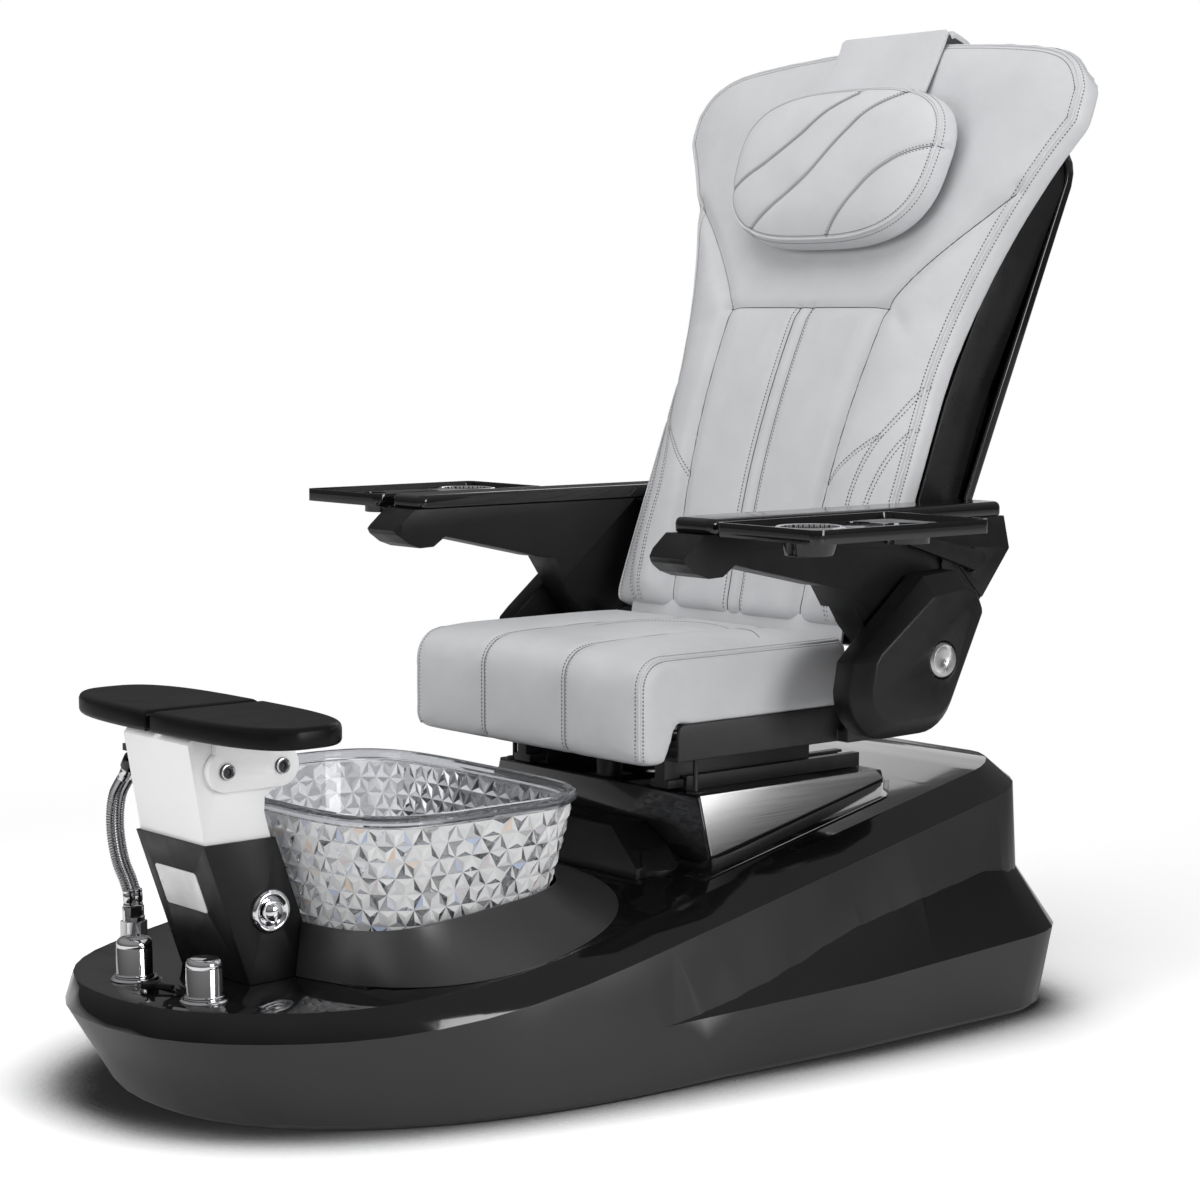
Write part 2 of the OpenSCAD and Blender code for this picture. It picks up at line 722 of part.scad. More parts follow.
dock_x = 95;
module sprayer_dock() {
    color([0.1, 0.1, 0.11])
    difference() {
        union() {
            // foot on the column's side, a strip that clears the pad plates, and a ring
            box([-column_half_w - 6, hose_y - 18, 262], [-column_half_w - 0.1, hose_y + 18, 330]);
            box([-dock_x - 6, hose_y - 18, 320], [-column_half_w - 0.1, hose_y + 18, 330]);
            box([-dock_x - 6, hose_y - 18, 320], [-dock_x, hose_y + 18, 430]);
            box([-158, hose_y - 18, 421], [-dock_x, hose_y + 18, 430]);
        }
        on_spray_axis() cylinder(r = 14.4, h = 80);
    }
}

// ---- Pedestal ----
pedestal_front = 110;
pedestal_back = 462;
pedestal_wall = 6;
// The sides lean out towards the deck by this much per millimetre
side_lean = 0.3;
module pedestal_prism(grow, front, back, top) {
    foot = 190;
    reach = (pedestal_top_z - foot) * side_lean;
    translate([0, back, 0]) rotate([90, 0, 0]) linear_extrude(back - front) polygon([
        [-pedestal_half_w - reach - grow, foot], [pedestal_half_w + reach + grow, foot],
        [pedestal_half_w + (pedestal_top_z - top) * side_lean + grow, top],
        [-pedestal_half_w - (pedestal_top_z - top) * side_lean - grow, top]]);
}
module pedestal_box() {
    color([0.08, 0.08, 0.09])
    difference() {
        pedestal_prism(0, pedestal_front, pedestal_back, pedestal_top_z);
        pedestal_prism(-pedestal_wall, pedestal_front + pedestal_wall,
            pedestal_back - pedestal_wall, pedestal_top_z - pedestal_wall);
        translate([0, 0, gap]) front_body(0);
    }
}

skirt_spread = 68;
module pedestal_skirt() {
    color([0.07, 0.07, 0.08])
    difference() {
        // flares out from the foot of the box to the deck
        hull() {
            box([-pedestal_half_w - skirt_spread, pedestal_front - 46, 190],
                [pedestal_half_w + skirt_spread, pedestal_front + 20, deck_z(65) + 2]);
            box([-pedestal_half_w - 26, pedestal_front - 4, 200],
                [pedestal_half_w + 26, pedestal_front + 60, 255]);
            box([-pedestal_half_w - skirt_spread + 8, pedestal_back - 60, 200],
                [pedestal_half_w + skirt_spread - 8, pedestal_back + 4, deck_z(415)]);
            box([-pedestal_half_w - 8, pedestal_back - 60, 200],
                [pedestal_half_w + 8, pedestal_back + 4, deck_z(pedestal_back) + 2]);
        }
        pedestal_prism(gap, pedestal_front - gap, pedestal_back + gap, pedestal_top_z + 40);
        translate([0, 0, gap]) front_body(0);
        // room for the jet cover, and for the steel plates above the facet
        box([-240, -100, 100], [240, pedestal_front - gap, 400]);
        along_x(-400, 400) polygon([[0, 500], [0, trim_low_z(trim_front) - 1],
            [trim_front, trim_low_z(trim_front) - 1], [pedestal_back + 10,
                trim_low_z(pedestal_back + 10) - 1], [pedestal_back + 10, 500]]);
    }
}

trim_t = 2;
trim_front = pedestal_front + 10;
// Lower edge of the steel plates, parallel to the rear deck
function trim_low_z(y) = mix(258, deck_z(pedestal_back) + 4,
    (y - trim_front) / (pedestal_back - 1 - trim_front));
module steel_trims() {
    low = trim_low_z(trim_front);
    color([0.66, 0.66, 0.67])
    both_sides() translate([pedestal_half_w + 0.2, 0, pedestal_top_z])
        rotate([0, -atan(side_lean), 0])
            along_x(0, trim_t) polygon([for (p = [
                [pedestal_front + 3, pedestal_top_z], [pedestal_back - 14, pedestal_top_z],
                [pedestal_back - 1, trim_low_z(pedestal_back - 1)], [trim_front, low],
                [pedestal_front + 3, low]])
                [p.x, (p.y - pedestal_top_z) / cos(atan(side_lean))]]);
}

rail_x = 150;
rail_h = 20;
rail_front = 128;
rail_back = rail_front + 250 + seat_travel;
slide_back = rail_back - seat_travel - 6;
module fixed_rails() {
    color([0.3, 0.3, 0.32]) for (sx = [-1, 1]) {
        translate([sx * rail_x, 0, pedestal_top_z]) difference() {
            box([-24, rail_front, 0.1], [24, rail_back, rail_h]);
            box([-19, rail_front - cut, 4], [19, rail_back + cut, rail_h - 4]);
            box([-11, rail_front - cut, rail_h - 5], [11, rail_back + cut, rail_h + cut]);
        }
        // stop post at the front corner of the pedestal
        translate([sx * (pedestal_half_w - 19), pedestal_front + 14, pedestal_top_z + 0.1]) {
            cylinder(r = 12, h = 3);
            cylinder(r = 3.5, h = frame_low - pedestal_top_z - 2);
            translate([0, 0, frame_low - pedestal_top_z - 6]) cylinder(r = 6.5, h = 4);
        }
    }
}
module moving_rails() {
    low = pedestal_top_z + 4 + gap;
    color([0.45, 0.45, 0.47])
    for (sx = [-1, 1]) translate([sx * rail_x, 0, 0]) {
        box([-18, 100, low], [18, slide_back, pedestal_top_z + rail_h - 4 - gap]);
        box([-10, 100, low], [10, slide_back, frame_low - 0.1]);
    }
}

slide_axis_z = 362;
drive_rod_r = 7;
// The slide's rod is drawn out by the seat's travel and stays in its tube
drive_end = 240;
drive_fit = 0.1;
module slide_motor() {
    color([0.28, 0.28, 0.3])
    difference() {
        union() {
            translate([0, drive_end - seat_travel - 20, slide_axis_z]) rotate([-90, 0, 0])
                cylinder(r = 13, h = seat_travel + 40);
            translate([0, drive_end - seat_travel - 22, pedestal_top_z + 0.1])
                cylinder(r = 18, h = 46);
        }
        translate([0, drive_end - seat_travel - 2, slide_axis_z]) rotate([-90, 0, 0])
            cylinder(r = drive_rod_r + drive_fit, h = 200);
    }
}
module slide_rod() {
    color([0.75, 0.75, 0.77]) {
        translate([0, drive_end - seat_travel, slide_axis_z]) rotate([-90, 0, 0])
            cylinder(r = drive_rod_r, h = seat_travel + 50);
        // lug that pushes the seat frame
        box([-9, 272, slide_axis_z - 9], [9, 290, frame_low - 0.1]);
    }
}

// ---- Seat ----
frame_low = 393;
frame_high = seat_under_z - soft_gap;
frame_t = 6;
panel_front = 46;
panel_back = 418;
module seat_frame() {
    color([0.1, 0.1, 0.11]) {
        both_sides() {
            // side panel with a rounded front shoulder
            along_x(seat_half_w - frame_t, seat_half_w) polygon(concat(
                [[panel_front, frame_low], [panel_back, frame_low], [panel_back, frame_high]],
                [for (k = [0:6]) let(angle = 90 + k * 15)
                    [panel_front + 14 + 14 * cos(angle), frame_high - 14 + 14 * sin(angle)]]));
            // bracket that carries the pivot shaft
            along_x(seat_half_w + 12, seat_half_w + 20) difference() {
                hull() {
                    translate([pivot_y, pivot_z]) circle(20);
                    translate([pivot_y - 50, frame_low + 8]) square([80, 8]);
                }
                translate([pivot_y, pivot_z]) circle(shaft_d / 2);
            }
            box([seat_half_w, pivot_y - 50, frame_low], [seat_half_w + 20, pivot_y + 30, frame_low + 16]);
        }
        for (y = [panel_front, 150, 270])
            box([-seat_half_w, y, frame_low], [seat_half_w, y + 40, frame_low + 6]);
        for (sx = [-1, 1]) box([sx * rail_x - 22, panel_front, frame_low],
            [sx * rail_x + 22, panel_back - 30, frame_low + 6]);
    }
}

seam_x = 88;
seat_front_y = -19;
seat_back_y = 358;
lip_z = 390;
function seat_stations() = concat(
    [for (x = [0, 3, 12, 30, 60, 100, 145]) -seat_half_w + x],
    [-seam_x - 6, -seam_x, -seam_x + 6, -44, 0, 44, seam_x - 6, seam_x, seam_x + 6],
    [for (x = [145, 100, 60, 30, 12, 3, 0]) seat_half_w - x]);
// How far the cushion's skin is drawn in near its ends, 1 at the very edge
function edge_pinch(x) = let(d = seat_half_w - abs(x)) d < 16 ? pow(1 - d / 16, 2) : 0;
function seam_dip(x) = abs(abs(x) - seam_x) < 1 ? 3 : 0;
function seat_crown(x) = 7 * (1 - pow(x / seat_half_w, 2));
seat_y_steps = [0, 2, 9, 22, 42, 62, 110, 180, 250, 320, 358, 372, 377];
module seat_cushion() {
    depth = seat_back_y - seat_front_y;
    function top_at(t, x) = let(y = t * depth / 377,
            front = y < 42 ? 42 - sqrt(42 * 42 - pow(42 - y, 2)) : 0,
            rear = y > depth - 19 ? (y - depth + 19) * 0.8 : 0)
        seat_top_z + seat_crown(x) * sin(min(y, depth) / depth * 180) - front * 0.95 - rear
            - 12 * edge_pinch(x) - seam_dip(x);
    function under_at(t, x) = let(y = t * depth / 377,
            lip = y < 18 ? 18 - sqrt(18 * 18 - pow(18 - y, 2)) : 0)
        (y < 45 ? lip_z + lip : y < 65 ? mix(lip_z, seat_under_z, (y - 42) / 20) : seat_under_z)
            + 6 * edge_pinch(x);
    rings = [for (x = seat_stations()) let(inset = 7 * edge_pinch(x) + seam_dip(x)) concat(
        [for (t = seat_y_steps)
            [x, seat_front_y + mix(inset, depth, t / 377), under_at(t, x)]],
        [for (k = [len(seat_y_steps) - 1:-1:0]) let(t = seat_y_steps[k])
            [x, seat_front_y + mix(inset, depth, t / 377), top_at(t, x)]])];
    color([0.76, 0.77, 0.79]) loft(rings);
}

arm_in_x = seat_half_w + arm_gap;
arm_out_x = arm_in_x + arm_w;
back_waist = arm_in_x - waist_gap;
cover_in_x = arm_out_x + 1;
cover_out_x = cover_in_x + 53;
shaft_in_x = seat_half_w - 4;
shaft_out_x = cover_out_x - 8;
module pivot_shafts() {
    color([0.6, 0.6, 0.62])
    both_sides() rod_x(shaft_in_x, shaft_out_x, pivot_y, pivot_z, shaft_d / 2 - run_fit);
}

// Side outline of the pivot cover, from its lower front corner round its top
function cover_outline(inset) = concat(
    [for (k = [0:8]) let(angle = 180 + k * 90 / 8)
        [298 + (67 - inset) * cos(angle), 482 + (67 - inset) * sin(angle)]],
    [for (k = [0:6]) let(angle = 270 + k * 62 / 6)
        [366 + (68 - inset) * cos(angle), 484 + (68 - inset) * sin(angle)]],
    [[488 - inset, 576], [476 - inset, 602], [432, 634 - inset], [370, 629 - inset * 1.1],
        [256 + inset * 0.6, 537 - inset * 0.2], [238 + inset, 521]]);
module pivot_cover() {
    hub_r = shaft_d / 2;
    chamfer = 24;
    color([0.15, 0.15, 0.16])
    difference() {
        union() {
            along_x(cover_in_x, cover_out_x - 22) polygon(cover_outline(0));
            // the outer face steps in across a broad sloping facet
            hull() {
                along_x(cover_out_x - 22.5, cover_out_x - 22) polygon(cover_outline(0));
                along_x(cover_out_x - 1, cover_out_x) polygon(cover_outline(chamfer));
            }
        }
        rod_x(cover_in_x - cut, shaft_out_x, pivot_y, pivot_z, hub_r);
        rod_x(cover_out_x - 6, cover_out_x + cut, pivot_y, pivot_z, cap_r + 3);
    }
}
module left_pivot_cover() { pivot_cover(); }
module right_pivot_cover() { mirror([1, 0, 0]) pivot_cover(); }

cap_r = 23;
module pivot_caps() {
    color([0.72, 0.72, 0.73])
    both_sides() translate([cover_out_x - 6 + 0.1, pivot_y, pivot_z]) rotate([0, 90, 0])
        difference() {
            rotate_extrude() polygon([[0, 0], [cap_r + 2, 0], [cap_r + 2, 4], [cap_r, 7],
                [cap_r - 2, 9], [0, 10]]);
            translate([0, 0, 24]) sphere(r = 17);
        }
}

actuator_z = 418;
// Rest place of the pin that joins the rod to the fork of the back
lever_back = 28;
lever_pin_y = pivot_y + lever_back;
module recline_motor() {
    color([0.28, 0.28, 0.3])
    difference() {
        union() {
            translate([0, 150, actuator_z]) rotate([-90, 0, 0]) cylinder(r = 13, h = 140);
            translate([0, 110, actuator_z]) rotate([-90, 0, 0]) cylinder(r = 18, h = 42);
            box([-12, 156, frame_low + frame_t + 0.1], [12, 184, actuator_z]);
        }
        translate([0, 165, actuator_z]) rotate([-90, 0, 0])
            cylinder(r = drive_rod_r + drive_fit, h = 200);
    }
}
lever_pin_r = 5;
module recline_rod() {
    color([0.75, 0.75, 0.77]) {
        translate([0, 230, actuator_z]) rotate([-90, 0, 0])
            cylinder(r = drive_rod_r, h = lever_pin_y - 230 - 5);
        rod_x(-16, 16, lever_pin_y, actuator_z, lever_pin_r);
        rod_x(-8.5, 8.5, lever_pin_y, actuator_z, 9.5);
    }
}

// ---- Arms ----
leg_in_x = arm_in_x + 15;
leg_out_x = arm_out_x - 3;
socket_y = 499;
socket_z = 642;
socket_r = 13;
pin_r = 12;
// Side outline of an arm: a nose, a tapering beam and a leg down to the pivot
module arm_profile() {
    top = arm_top_z - arm_pad_t - 0.2;
    difference() {
        union() {
            polygon([
                [3, top], [-31, 671], [-26, 664], [-8, 651], [12, 644], [36, 645], [57, 659],
                [245, 618], [262, 616], [300, 560], [330, 530], [380, 480], [440, 500],
                [523, 588], [578, 654], [566, top]]);
            translate([pivot_y, pivot_z]) circle(46);
        }
        translate([pivot_y, pivot_z]) circle(shaft_d / 2);
    }
}
module arm() {
    color([0.13, 0.13, 0.14])
    difference() {
        intersection() {
            along_x(arm_in_x, arm_out_x - 1) arm_profile();
            // seen from above the nose narrows and the beam is waisted
            translate([0, 0, 300]) linear_extrude(600) polygon([
                [arm_in_x, -20], [arm_in_x + 12, -40], [arm_out_x - 6, -40], [arm_out_x - 1, -25],
                [arm_out_x - 1, 600], [arm_in_x, 600]]);
        }
        // inboard and outboard reliefs leave the leg thinner than the beam
        along_x(arm_in_x - cut, leg_in_x) polygon([[250, 560], [420, 700], [500, 660], [600, 560],
            [600, 400], [250, 400]]);
        along_x(leg_out_x, arm_out_x) polygon([[200, 641], [470, 641], [520, 590], [600, 560],
            [600, 400], [200, 400]]);
        // shallow step along the beam, below the pad
        along_x(arm_out_x - 7, arm_out_x) polygon([[60, 400], [86, 676], [440, 664], [470, 400]]);
        rod_x(leg_out_x - 22, arm_out_x + cut, socket_y, socket_z, pin_r + run_fit);
        rod_x(arm_out_x - 8, arm_out_x + cut, socket_y, socket_z, socket_r + 4);
        rod_x(arm_in_x - cut, arm_out_x + cut, pivot_y, pivot_z, shaft_d / 2);
    }
}
module left_arm() { arm(); }
module right_arm() { mirror([1, 0, 0]) arm(); }

pad_front_y = 14;
pad_back_y = 562;
module arm_pad() {
    low = arm_top_z - arm_pad_t;
    mid_x = (arm_in_x + arm_out_x) / 2;
    mid_y = (pad_front_y + pad_back_y) / 2;
    color([0.05, 0.05, 0.05])
    translate([mid_x, mid_y, low]) hull() {
        linear_extrude(arm_pad_t - 5) rounded_rect(arm_w, pad_back_y - pad_front_y, 10);
        linear_extrude(arm_pad_t) rounded_rect(arm_w - 8, pad_back_y - pad_front_y - 8, 8);
    }
}
module left_arm_pad() { arm_pad(); }
module right_arm_pad() { mirror([1, 0, 0]) arm_pad(); }

// ---- Trays ----
tray_gap = 18;
tray_mid_x = arm_out_x + tray_gap + tray_w / 2;
tray_mid_y = 2 + tray_l / 2;
tray_top_z = arm_top_z - 2;
tray_floor_t = 4;
tray_rim = 5;
cup_off = 78;
small_cup_r = 27;
small_cup_off = [12, 84];
coin_r = 17;
coin_off = [-52, 58];
// The tray is one moulding for either side, turned half round: turn is 0 or 180
module tray_plate() {
    difference() {
        linear_extrude(tray_h) rounded_rect(tray_w, tray_l, 14);
        translate([0, 0, tray_floor_t + 6]) linear_extrude(tray_h)
            rounded_rect(tray_w - 2 * tray_rim, tray_l - 2 * tray_rim, 10);
        translate([0, 0, -cut]) linear_extrude(6 + cut)
            rounded_rect(tray_w - 2 * tray_rim, tray_l - 2 * tray_rim, 10);
        translate([0, -cup_off, -cut]) cylinder(r = cup_r + 1, h = tray_h + 2 * cut);
        translate([small_cup_off.x, small_cup_off.y, -cut])
            cylinder(r = small_cup_r, h = tray_h + 2 * cut);
        translate([coin_off.x, coin_off.y, -cut]) cylinder(r = coin_r, h = tray_h + 2 * cut);
    }
    // well of the small cup holder
    translate([small_cup_off.x, small_cup_off.y, -14]) difference() {
        cylinder(r = small_cup_r + 3, h = 14 + tray_floor_t + 6);
        translate([0, 0, 3]) cylinder(r = small_cup_r, h = 40);
    }
}
module place_tray(side) {
    mirror([side < 0 ? 1 : 0, 0, 0])
        translate([tray_mid_x, tray_mid_y, tray_top_z - tray_h])
            rotate([0, 0, side < 0 ? 180 : 0]) children();
}
module left_tray() { color([0.05, 0.05, 0.05]) place_tray(1) tray_plate(); }
module right_tray() { color([0.05, 0.05, 0.05]) place_tray(-1) tray_plate(); }

module cup_insert() {
    top = tray_floor_t + 6 + 0.1;
    translate([0, -cup_off, 0]) rotate_extrude() polygon([
        [cup_r - 11, top - cup_depth + 3], [0, top - cup_depth + 3], [0, top - cup_depth],
        [cup_r - 8, top - cup_depth], [cup_r, top], [cup_r + 7, top], [cup_r + 7, top + 2],
        [cup_r + 2, top + 5], [cup_r - 2, top + 4]]);
}
module left_cup() { color([0.8, 0.8, 0.82]) place_tray(1) cup_insert(); }
module right_cup() { color([0.8, 0.8, 0.82]) place_tray(-1) cup_insert(); }

module tray_bracket() {
    out = arm_out_x + 3;
    low = tray_top_z - tray_h - 0.3;
    color([0.07, 0.07, 0.07]) {
        rod_x(arm_out_x - 20, out + 6, socket_y, socket_z, pin_r);
        // strut up from the socket to a foot under the tray
        along_x(out, out + 12) hull() {
            translate([socket_y, socket_z]) circle(14);
            translate([tray_mid_y + tray_l / 2 - 34, low - 4]) square([20, 5]);
        }
        // plate under the tray, with two bosses that reach its floor
        box([out, tray_mid_y + tray_l / 2 - 39, low - 4],
            [tray_mid_x + 40, tray_mid_y + tray_l / 2 - 8, low]);
        for (x = [-30, 20]) translate([tray_mid_x + x, tray_mid_y + tray_l / 2 - 22, low - 1])
            cylinder(r = 9, h = 7);
    }
}
module left_tray_bracket() { tray_bracket(); }
module right_tray_bracket() { mirror([1, 0, 0]) tray_bracket(); }

// ---- Back, in its own frame: X across, Y rearwards, Z up the slope ----
back_y = 367;
back_z = 548;
module on_back() {
    translate([0, back_y, back_z]) rotate([-back_lean, 0, 0]) children();
}
// The pivot axis in the back's frame
hinge_y = (pivot_y - back_y) * cos(back_lean) - (pivot_z - back_z) * sin(back_lean);
hinge_z = (pivot_y - back_y) * sin(back_lean) + (pivot_z - back_z) * cos(back_lean);

flare_start = 350;
flare_end = 800;
function back_half_w(u) = u < flare_start ? back_waist
    : back_waist + (back_shoulder - back_waist)
        * pow(min(1, (u - flare_start) / (flare_end - flare_start)), 1.6);
panel_seam_low = 134;
panel_seam_high = 163;
panel_seam_u = 464;
wing_seam_u = 652;
// Half spacing of the two curved seams that part the side bolsters from the middle
function bolster_seam(u) = u < panel_seam_u ? mix(panel_seam_low, panel_seam_high, u / panel_seam_u)
    : panel_seam_high + 172 * pow(min(1, (u - panel_seam_u) / (wing_seam_u - panel_seam_u)), 1.25);
// How much lower the top edge is at a place across the back, q from 0 to 1
function top_drop(q) = 45 * q * q + 48 * pow(q, 10);
back_rows = [0, 5, 18, 45, 90, 140, 190, 240, 290, 340, 385, 425, 456, 464, 472, 500, 530, 560,
    590, 620, 652, 690, 730, 770, 810, 845, 872, 886, 893];
channel_half = 13;
groove = 4;
module back_cushion() {
    count = len(back_rows);
    function crown(u) = 17 * sqrt(max(0, sin(180 * pow(u / back_l, 0.8))));
    function row(k) = let(
            u = back_rows[k] * back_l / 893,
            w = back_half_w(u),
            edge = min(k, count - 1 - k),
            pinch = edge == 0 ? 1 : edge == 1 ? 0.45 : edge == 2 ? 0.12 : 0,
            s = min(bolster_seam(u), w - 44),
            sewn = u < wing_seam_u ? 1 : 0,
            low = u < panel_seam_u + 4 ? 1 : 0,
            bar = abs(u - panel_seam_u) < 1 ? groove : 0,
            xs = [channel_half - 4, channel_half, channel_half + 6, s / 2 + 8, s - 9, s, s + 9,
                (s + w) / 2, w - 17, w - 5, w, w - 3, w - 14, s, channel_half],
            dips = [-low, low * groove, bar, bar, bar, sewn * groove, 0, 0, 0, 0, 0, 0, 0, 0, 0],
            deep = edge < 2 ? 0 : 1)
        mirrored([for (i = [0:14]) let(
                x = xs[i], q = x / w,
                face = -crown(u) * (1 - pow(q, 4)) + dips[i] * deep + pinch * 15 + q * q,
                y = i < 9 ? face : i == 9 ? 4 + pinch * 13 : i == 10 ? 24
                    : cushion_t - [6, 1.5, 0.5, 0][i - 11])
            [x, y, u - top_drop(q) * pow(u / back_l, 5) * (back_rows[k] > 500 ? 1 : 0)]]);
    color([0.76, 0.77, 0.79]) on_back() loft([for (k = [0:count - 1]) row(k)]);
}

body_top = 770;
function body_half_w(u) = u < flare_start ? back_waist - 8
    : min(back_half_w(u) - 8, back_waist - 8 + (u - flare_start) * 0.11);
module back_slab(inset, from_y, to_y, low, high, top_inset) {
    // the body follows the waist of the cushion and rounds over at the top
    steps = 12;
    right = concat(
        [for (k = [0:steps]) let(u = mix(low, high - 70, k / steps))
            [body_half_w(u) - inset, u]],
        [for (k = [1:6]) let(angle = k * 15)
            [body_half_w(high - 70) - inset - 70 + 70 * cos(angle),
                high - 70 + (70 - top_inset) * sin(angle)]]);
    translate([0, to_y, 0]) rotate([90, 0, 0]) linear_extrude(to_y - from_y)
        polygon(concat(right, [for (k = [len(right) - 1:-1:0]) [-right[k].x, right[k].y]]));
}
body_wall = 4;
module back_body() {
    y0 = cushion_t + soft_gap;
    color([0.12, 0.12, 0.12])
    on_back() difference() {
        back_slab(0, y0, y0 + body_t, 2, body_top, 0);
        back_slab(body_wall, y0 - cut, y0 + body_t + cut, -20, body_top - body_wall, 0);
    }
}

module back_cover() {
    y0 = cushion_t + soft_gap + body_t + gap;
    // gloss shell: a rim as wide as the body, stepping in to a domed panel
    color([0.05, 0.05, 0.05])
    on_back() difference() {
        hull() {
            back_slab(0, y0, y0 + 14, 2, body_top + 12, 0);
            back_slab(26, y0 + cover_t - 14, y0 + cover_t - 12, 40, body_top - 30, 0);
            back_slab(60, y0 + cover_t - 2, y0 + cover_t, 330, body_top - 70, 0);
        }
        hull() {
            back_slab(5, y0 - cut, y0 + 11, 8, body_top + 4, 0);
            back_slab(32, y0 + cover_t - 20, y0 + cover_t - 18, 48, body_top - 36, 0);
            back_slab(66, y0 + cover_t - 8, y0 + cover_t - 6, 336, body_top - 76, 0);
        }
    }
}

hinge_plate_x = seat_half_w - 1;
hinge_plate_t = 6;
side_tube_r = 11;
side_tube_x = seat_half_w - 10;
massage_rail_x = 60;
massage_rail_r = 8;
massage_rail_y = 96;
massage_low = 80;
massage_high = 700;
module back_frame() {
    tube_y = cushion_t + 34;
    fork_in = 9;
    color([0.3, 0.31, 0.33]) {
        on_back() {
            both_sides() {
                // hinge plate: back from the pivot, then up beside the side tube
                along_x(hinge_plate_x, hinge_plate_x + hinge_plate_t) difference() {
                    union() {
                        hull() {
                            translate([hinge_y, hinge_z]) circle(21);
                            translate([hinge_y + 37, hinge_z + 8]) circle(12);
                        }
                        hull() {
                            translate([hinge_y + 37, hinge_z + 8]) circle(12);
                            translate([tube_y, 90]) circle(14);
                        }
                    }
                    translate([hinge_y, hinge_z]) circle(shaft_d / 2);
                }
                translate([side_tube_x, tube_y, 20]) cylinder(r = side_tube_r, h = 690);
                // guide rail of the massage carriage
                translate([massage_rail_x, massage_rail_y, massage_low])
                    cylinder(r = massage_rail_r, h = massage_high - massage_low);
            }
            for (u = [massage_low, massage_high - 10]) translate([0, 0, u])
                box([-side_tube_x, tube_y - 8, -8], [side_tube_x, massage_rail_y + 8, 8]);
            rod_x(-hinge_plate_x - 1, hinge_plate_x + 1, tube_y, 30, 12);
        }
        // fork that the recline rod pulls on, slotted along the line to the pivot
        both_sides() along_x(fork_in, fork_in + 6) difference() {
            hull() {
                translate([pivot_y + 60, pivot_z + 28]) circle(15);
                translate([lever_pin_y, actuator_z]) circle(14);
            }
            hull() for (reach = [0.945, 1.02])
                translate([pivot_y, pivot_z] + reach * [lever_back, actuator_z - pivot_z])
                    circle(lever_pin_r + 0.8);
        }
    }
}

carriage_u = 340;
roller_r = 20;
module massage_carriage() {
    color([0.22, 0.22, 0.24])
    on_back() translate([0, massage_rail_y, carriage_u]) {
        difference() {
            box([-84, -14, -45], [84, 14, 45]);
            for (sx = [-1, 1]) translate([sx * massage_rail_x, 0, -60])
                cylinder(r = massage_rail_r + run_fit, h = 120);
        }
        for (sx = [-1, 1], sz = [-1, 1]) {
            box([sx * 32 - 5, -26, sz * 28 - 10], [sx * 32 + 5, -13, sz * 28 + 10]);
            rod_x(sx * 32 - 12, sx * 32 + 12, -26, sz * 28, roller_r);
        }
    }
}

strap_half_w = 118;
strap_t = 5;
strap_top = back_l + 8;
module headrest_strap() {
    // lies over the top of the back and down behind it
    color([0.76, 0.77, 0.79])
    on_back() along_x(-strap_half_w + 10, strap_half_w + 10) polygon([
        [2, strap_top - 2], [6, strap_top + strap_t], [cushion_t - 4, strap_top + strap_t],
        [cushion_t + soft_gap + strap_t, strap_top - 4], [cushion_t + soft_gap + strap_t, 790],
        [cushion_t + soft_gap, 790], [cushion_t + soft_gap, strap_top - 8],
        [cushion_t - 6, strap_top], [10, strap_top]]);
}

pillow_u = 672;
pillow_mid_x = 12;
pillow_half_h = 124;
strap_gap = 1.5;
function pillow_ring(grow, y) = let(steps = 40)
    [for (p = super_ring(pillow_half_w + grow, pillow_half_h + grow, 2.9, steps))
        let(widen = 1 + 0.06 * p.y / pillow_half_h)
        [pillow_mid_x + p.x * widen, y, pillow_u + p.y]];
module headrest_pillow() {
    face_y = -19;
    color([0.76, 0.77, 0.79])
    on_back() {
        loft([for (step = [[-26, 0], [-7, 3], [0, 14], [-1, 30], [-5, 44], [-18, 52], [-50, 58],
                [-88, 62], [-114, pillow_t]])
            [for (p = pillow_ring(step[0], face_y - step[1])) p]]);
        // flap from the strap down behind the pillow
        along_x(-strap_half_w + 10, strap_half_w + 10) polygon([
            [face_y + 17 - strap_gap, strap_top - 3], [face_y + 17 - strap_gap - 5, strap_top - 3],
            [face_y - 4, 770], [face_y - 4, 640], [face_y + 0.4, 640], [face_y + 0.8, 780]]);
        // sewn roll that the flap turns on
        rod_x(-strap_half_w + 10, strap_half_w + 10, -6, strap_top - 1, 3);
    }
}

// ---- Assembly ----
base_shell();
base_pan();
chassis_frame();
bowl_ring();
glass_bowl();
drain_flange();
drain_stopper();
drain_pipe();
jet_cover();
jet_pump();
pedestal_box();
pedestal_skirt();
steel_trims();
fixed_rails();
slide_motor();
column_housing();
touch_panel();
knob_bezel();
column_knob();
valve_bodies();
tap_flanges();
hot_knob();
cold_knob();
drain_lever();
hose_nut();
spray_hoses();
sprayer_dock();
sprayer_head();
column_upper();
pad_plates();
plate_bolts();
left_foot_pad();
right_foot_pad();
moving_rails();
slide_rod();
seat_frame();
seat_cushion();
pivot_shafts();
left_pivot_cover();
right_pivot_cover();
pivot_caps();
recline_motor();
recline_rod();
left_arm();
right_arm();
left_arm_pad();
right_arm_pad();
left_tray();
right_tray();
left_cup();
right_cup();
left_tray_bracket();
right_tray_bracket();
back_frame();
back_cushion();
back_body();
back_cover();
massage_carriage();
headrest_strap();
headrest_pillow();
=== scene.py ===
"""Pedicure spa chair: materials, upholstery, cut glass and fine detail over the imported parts."""

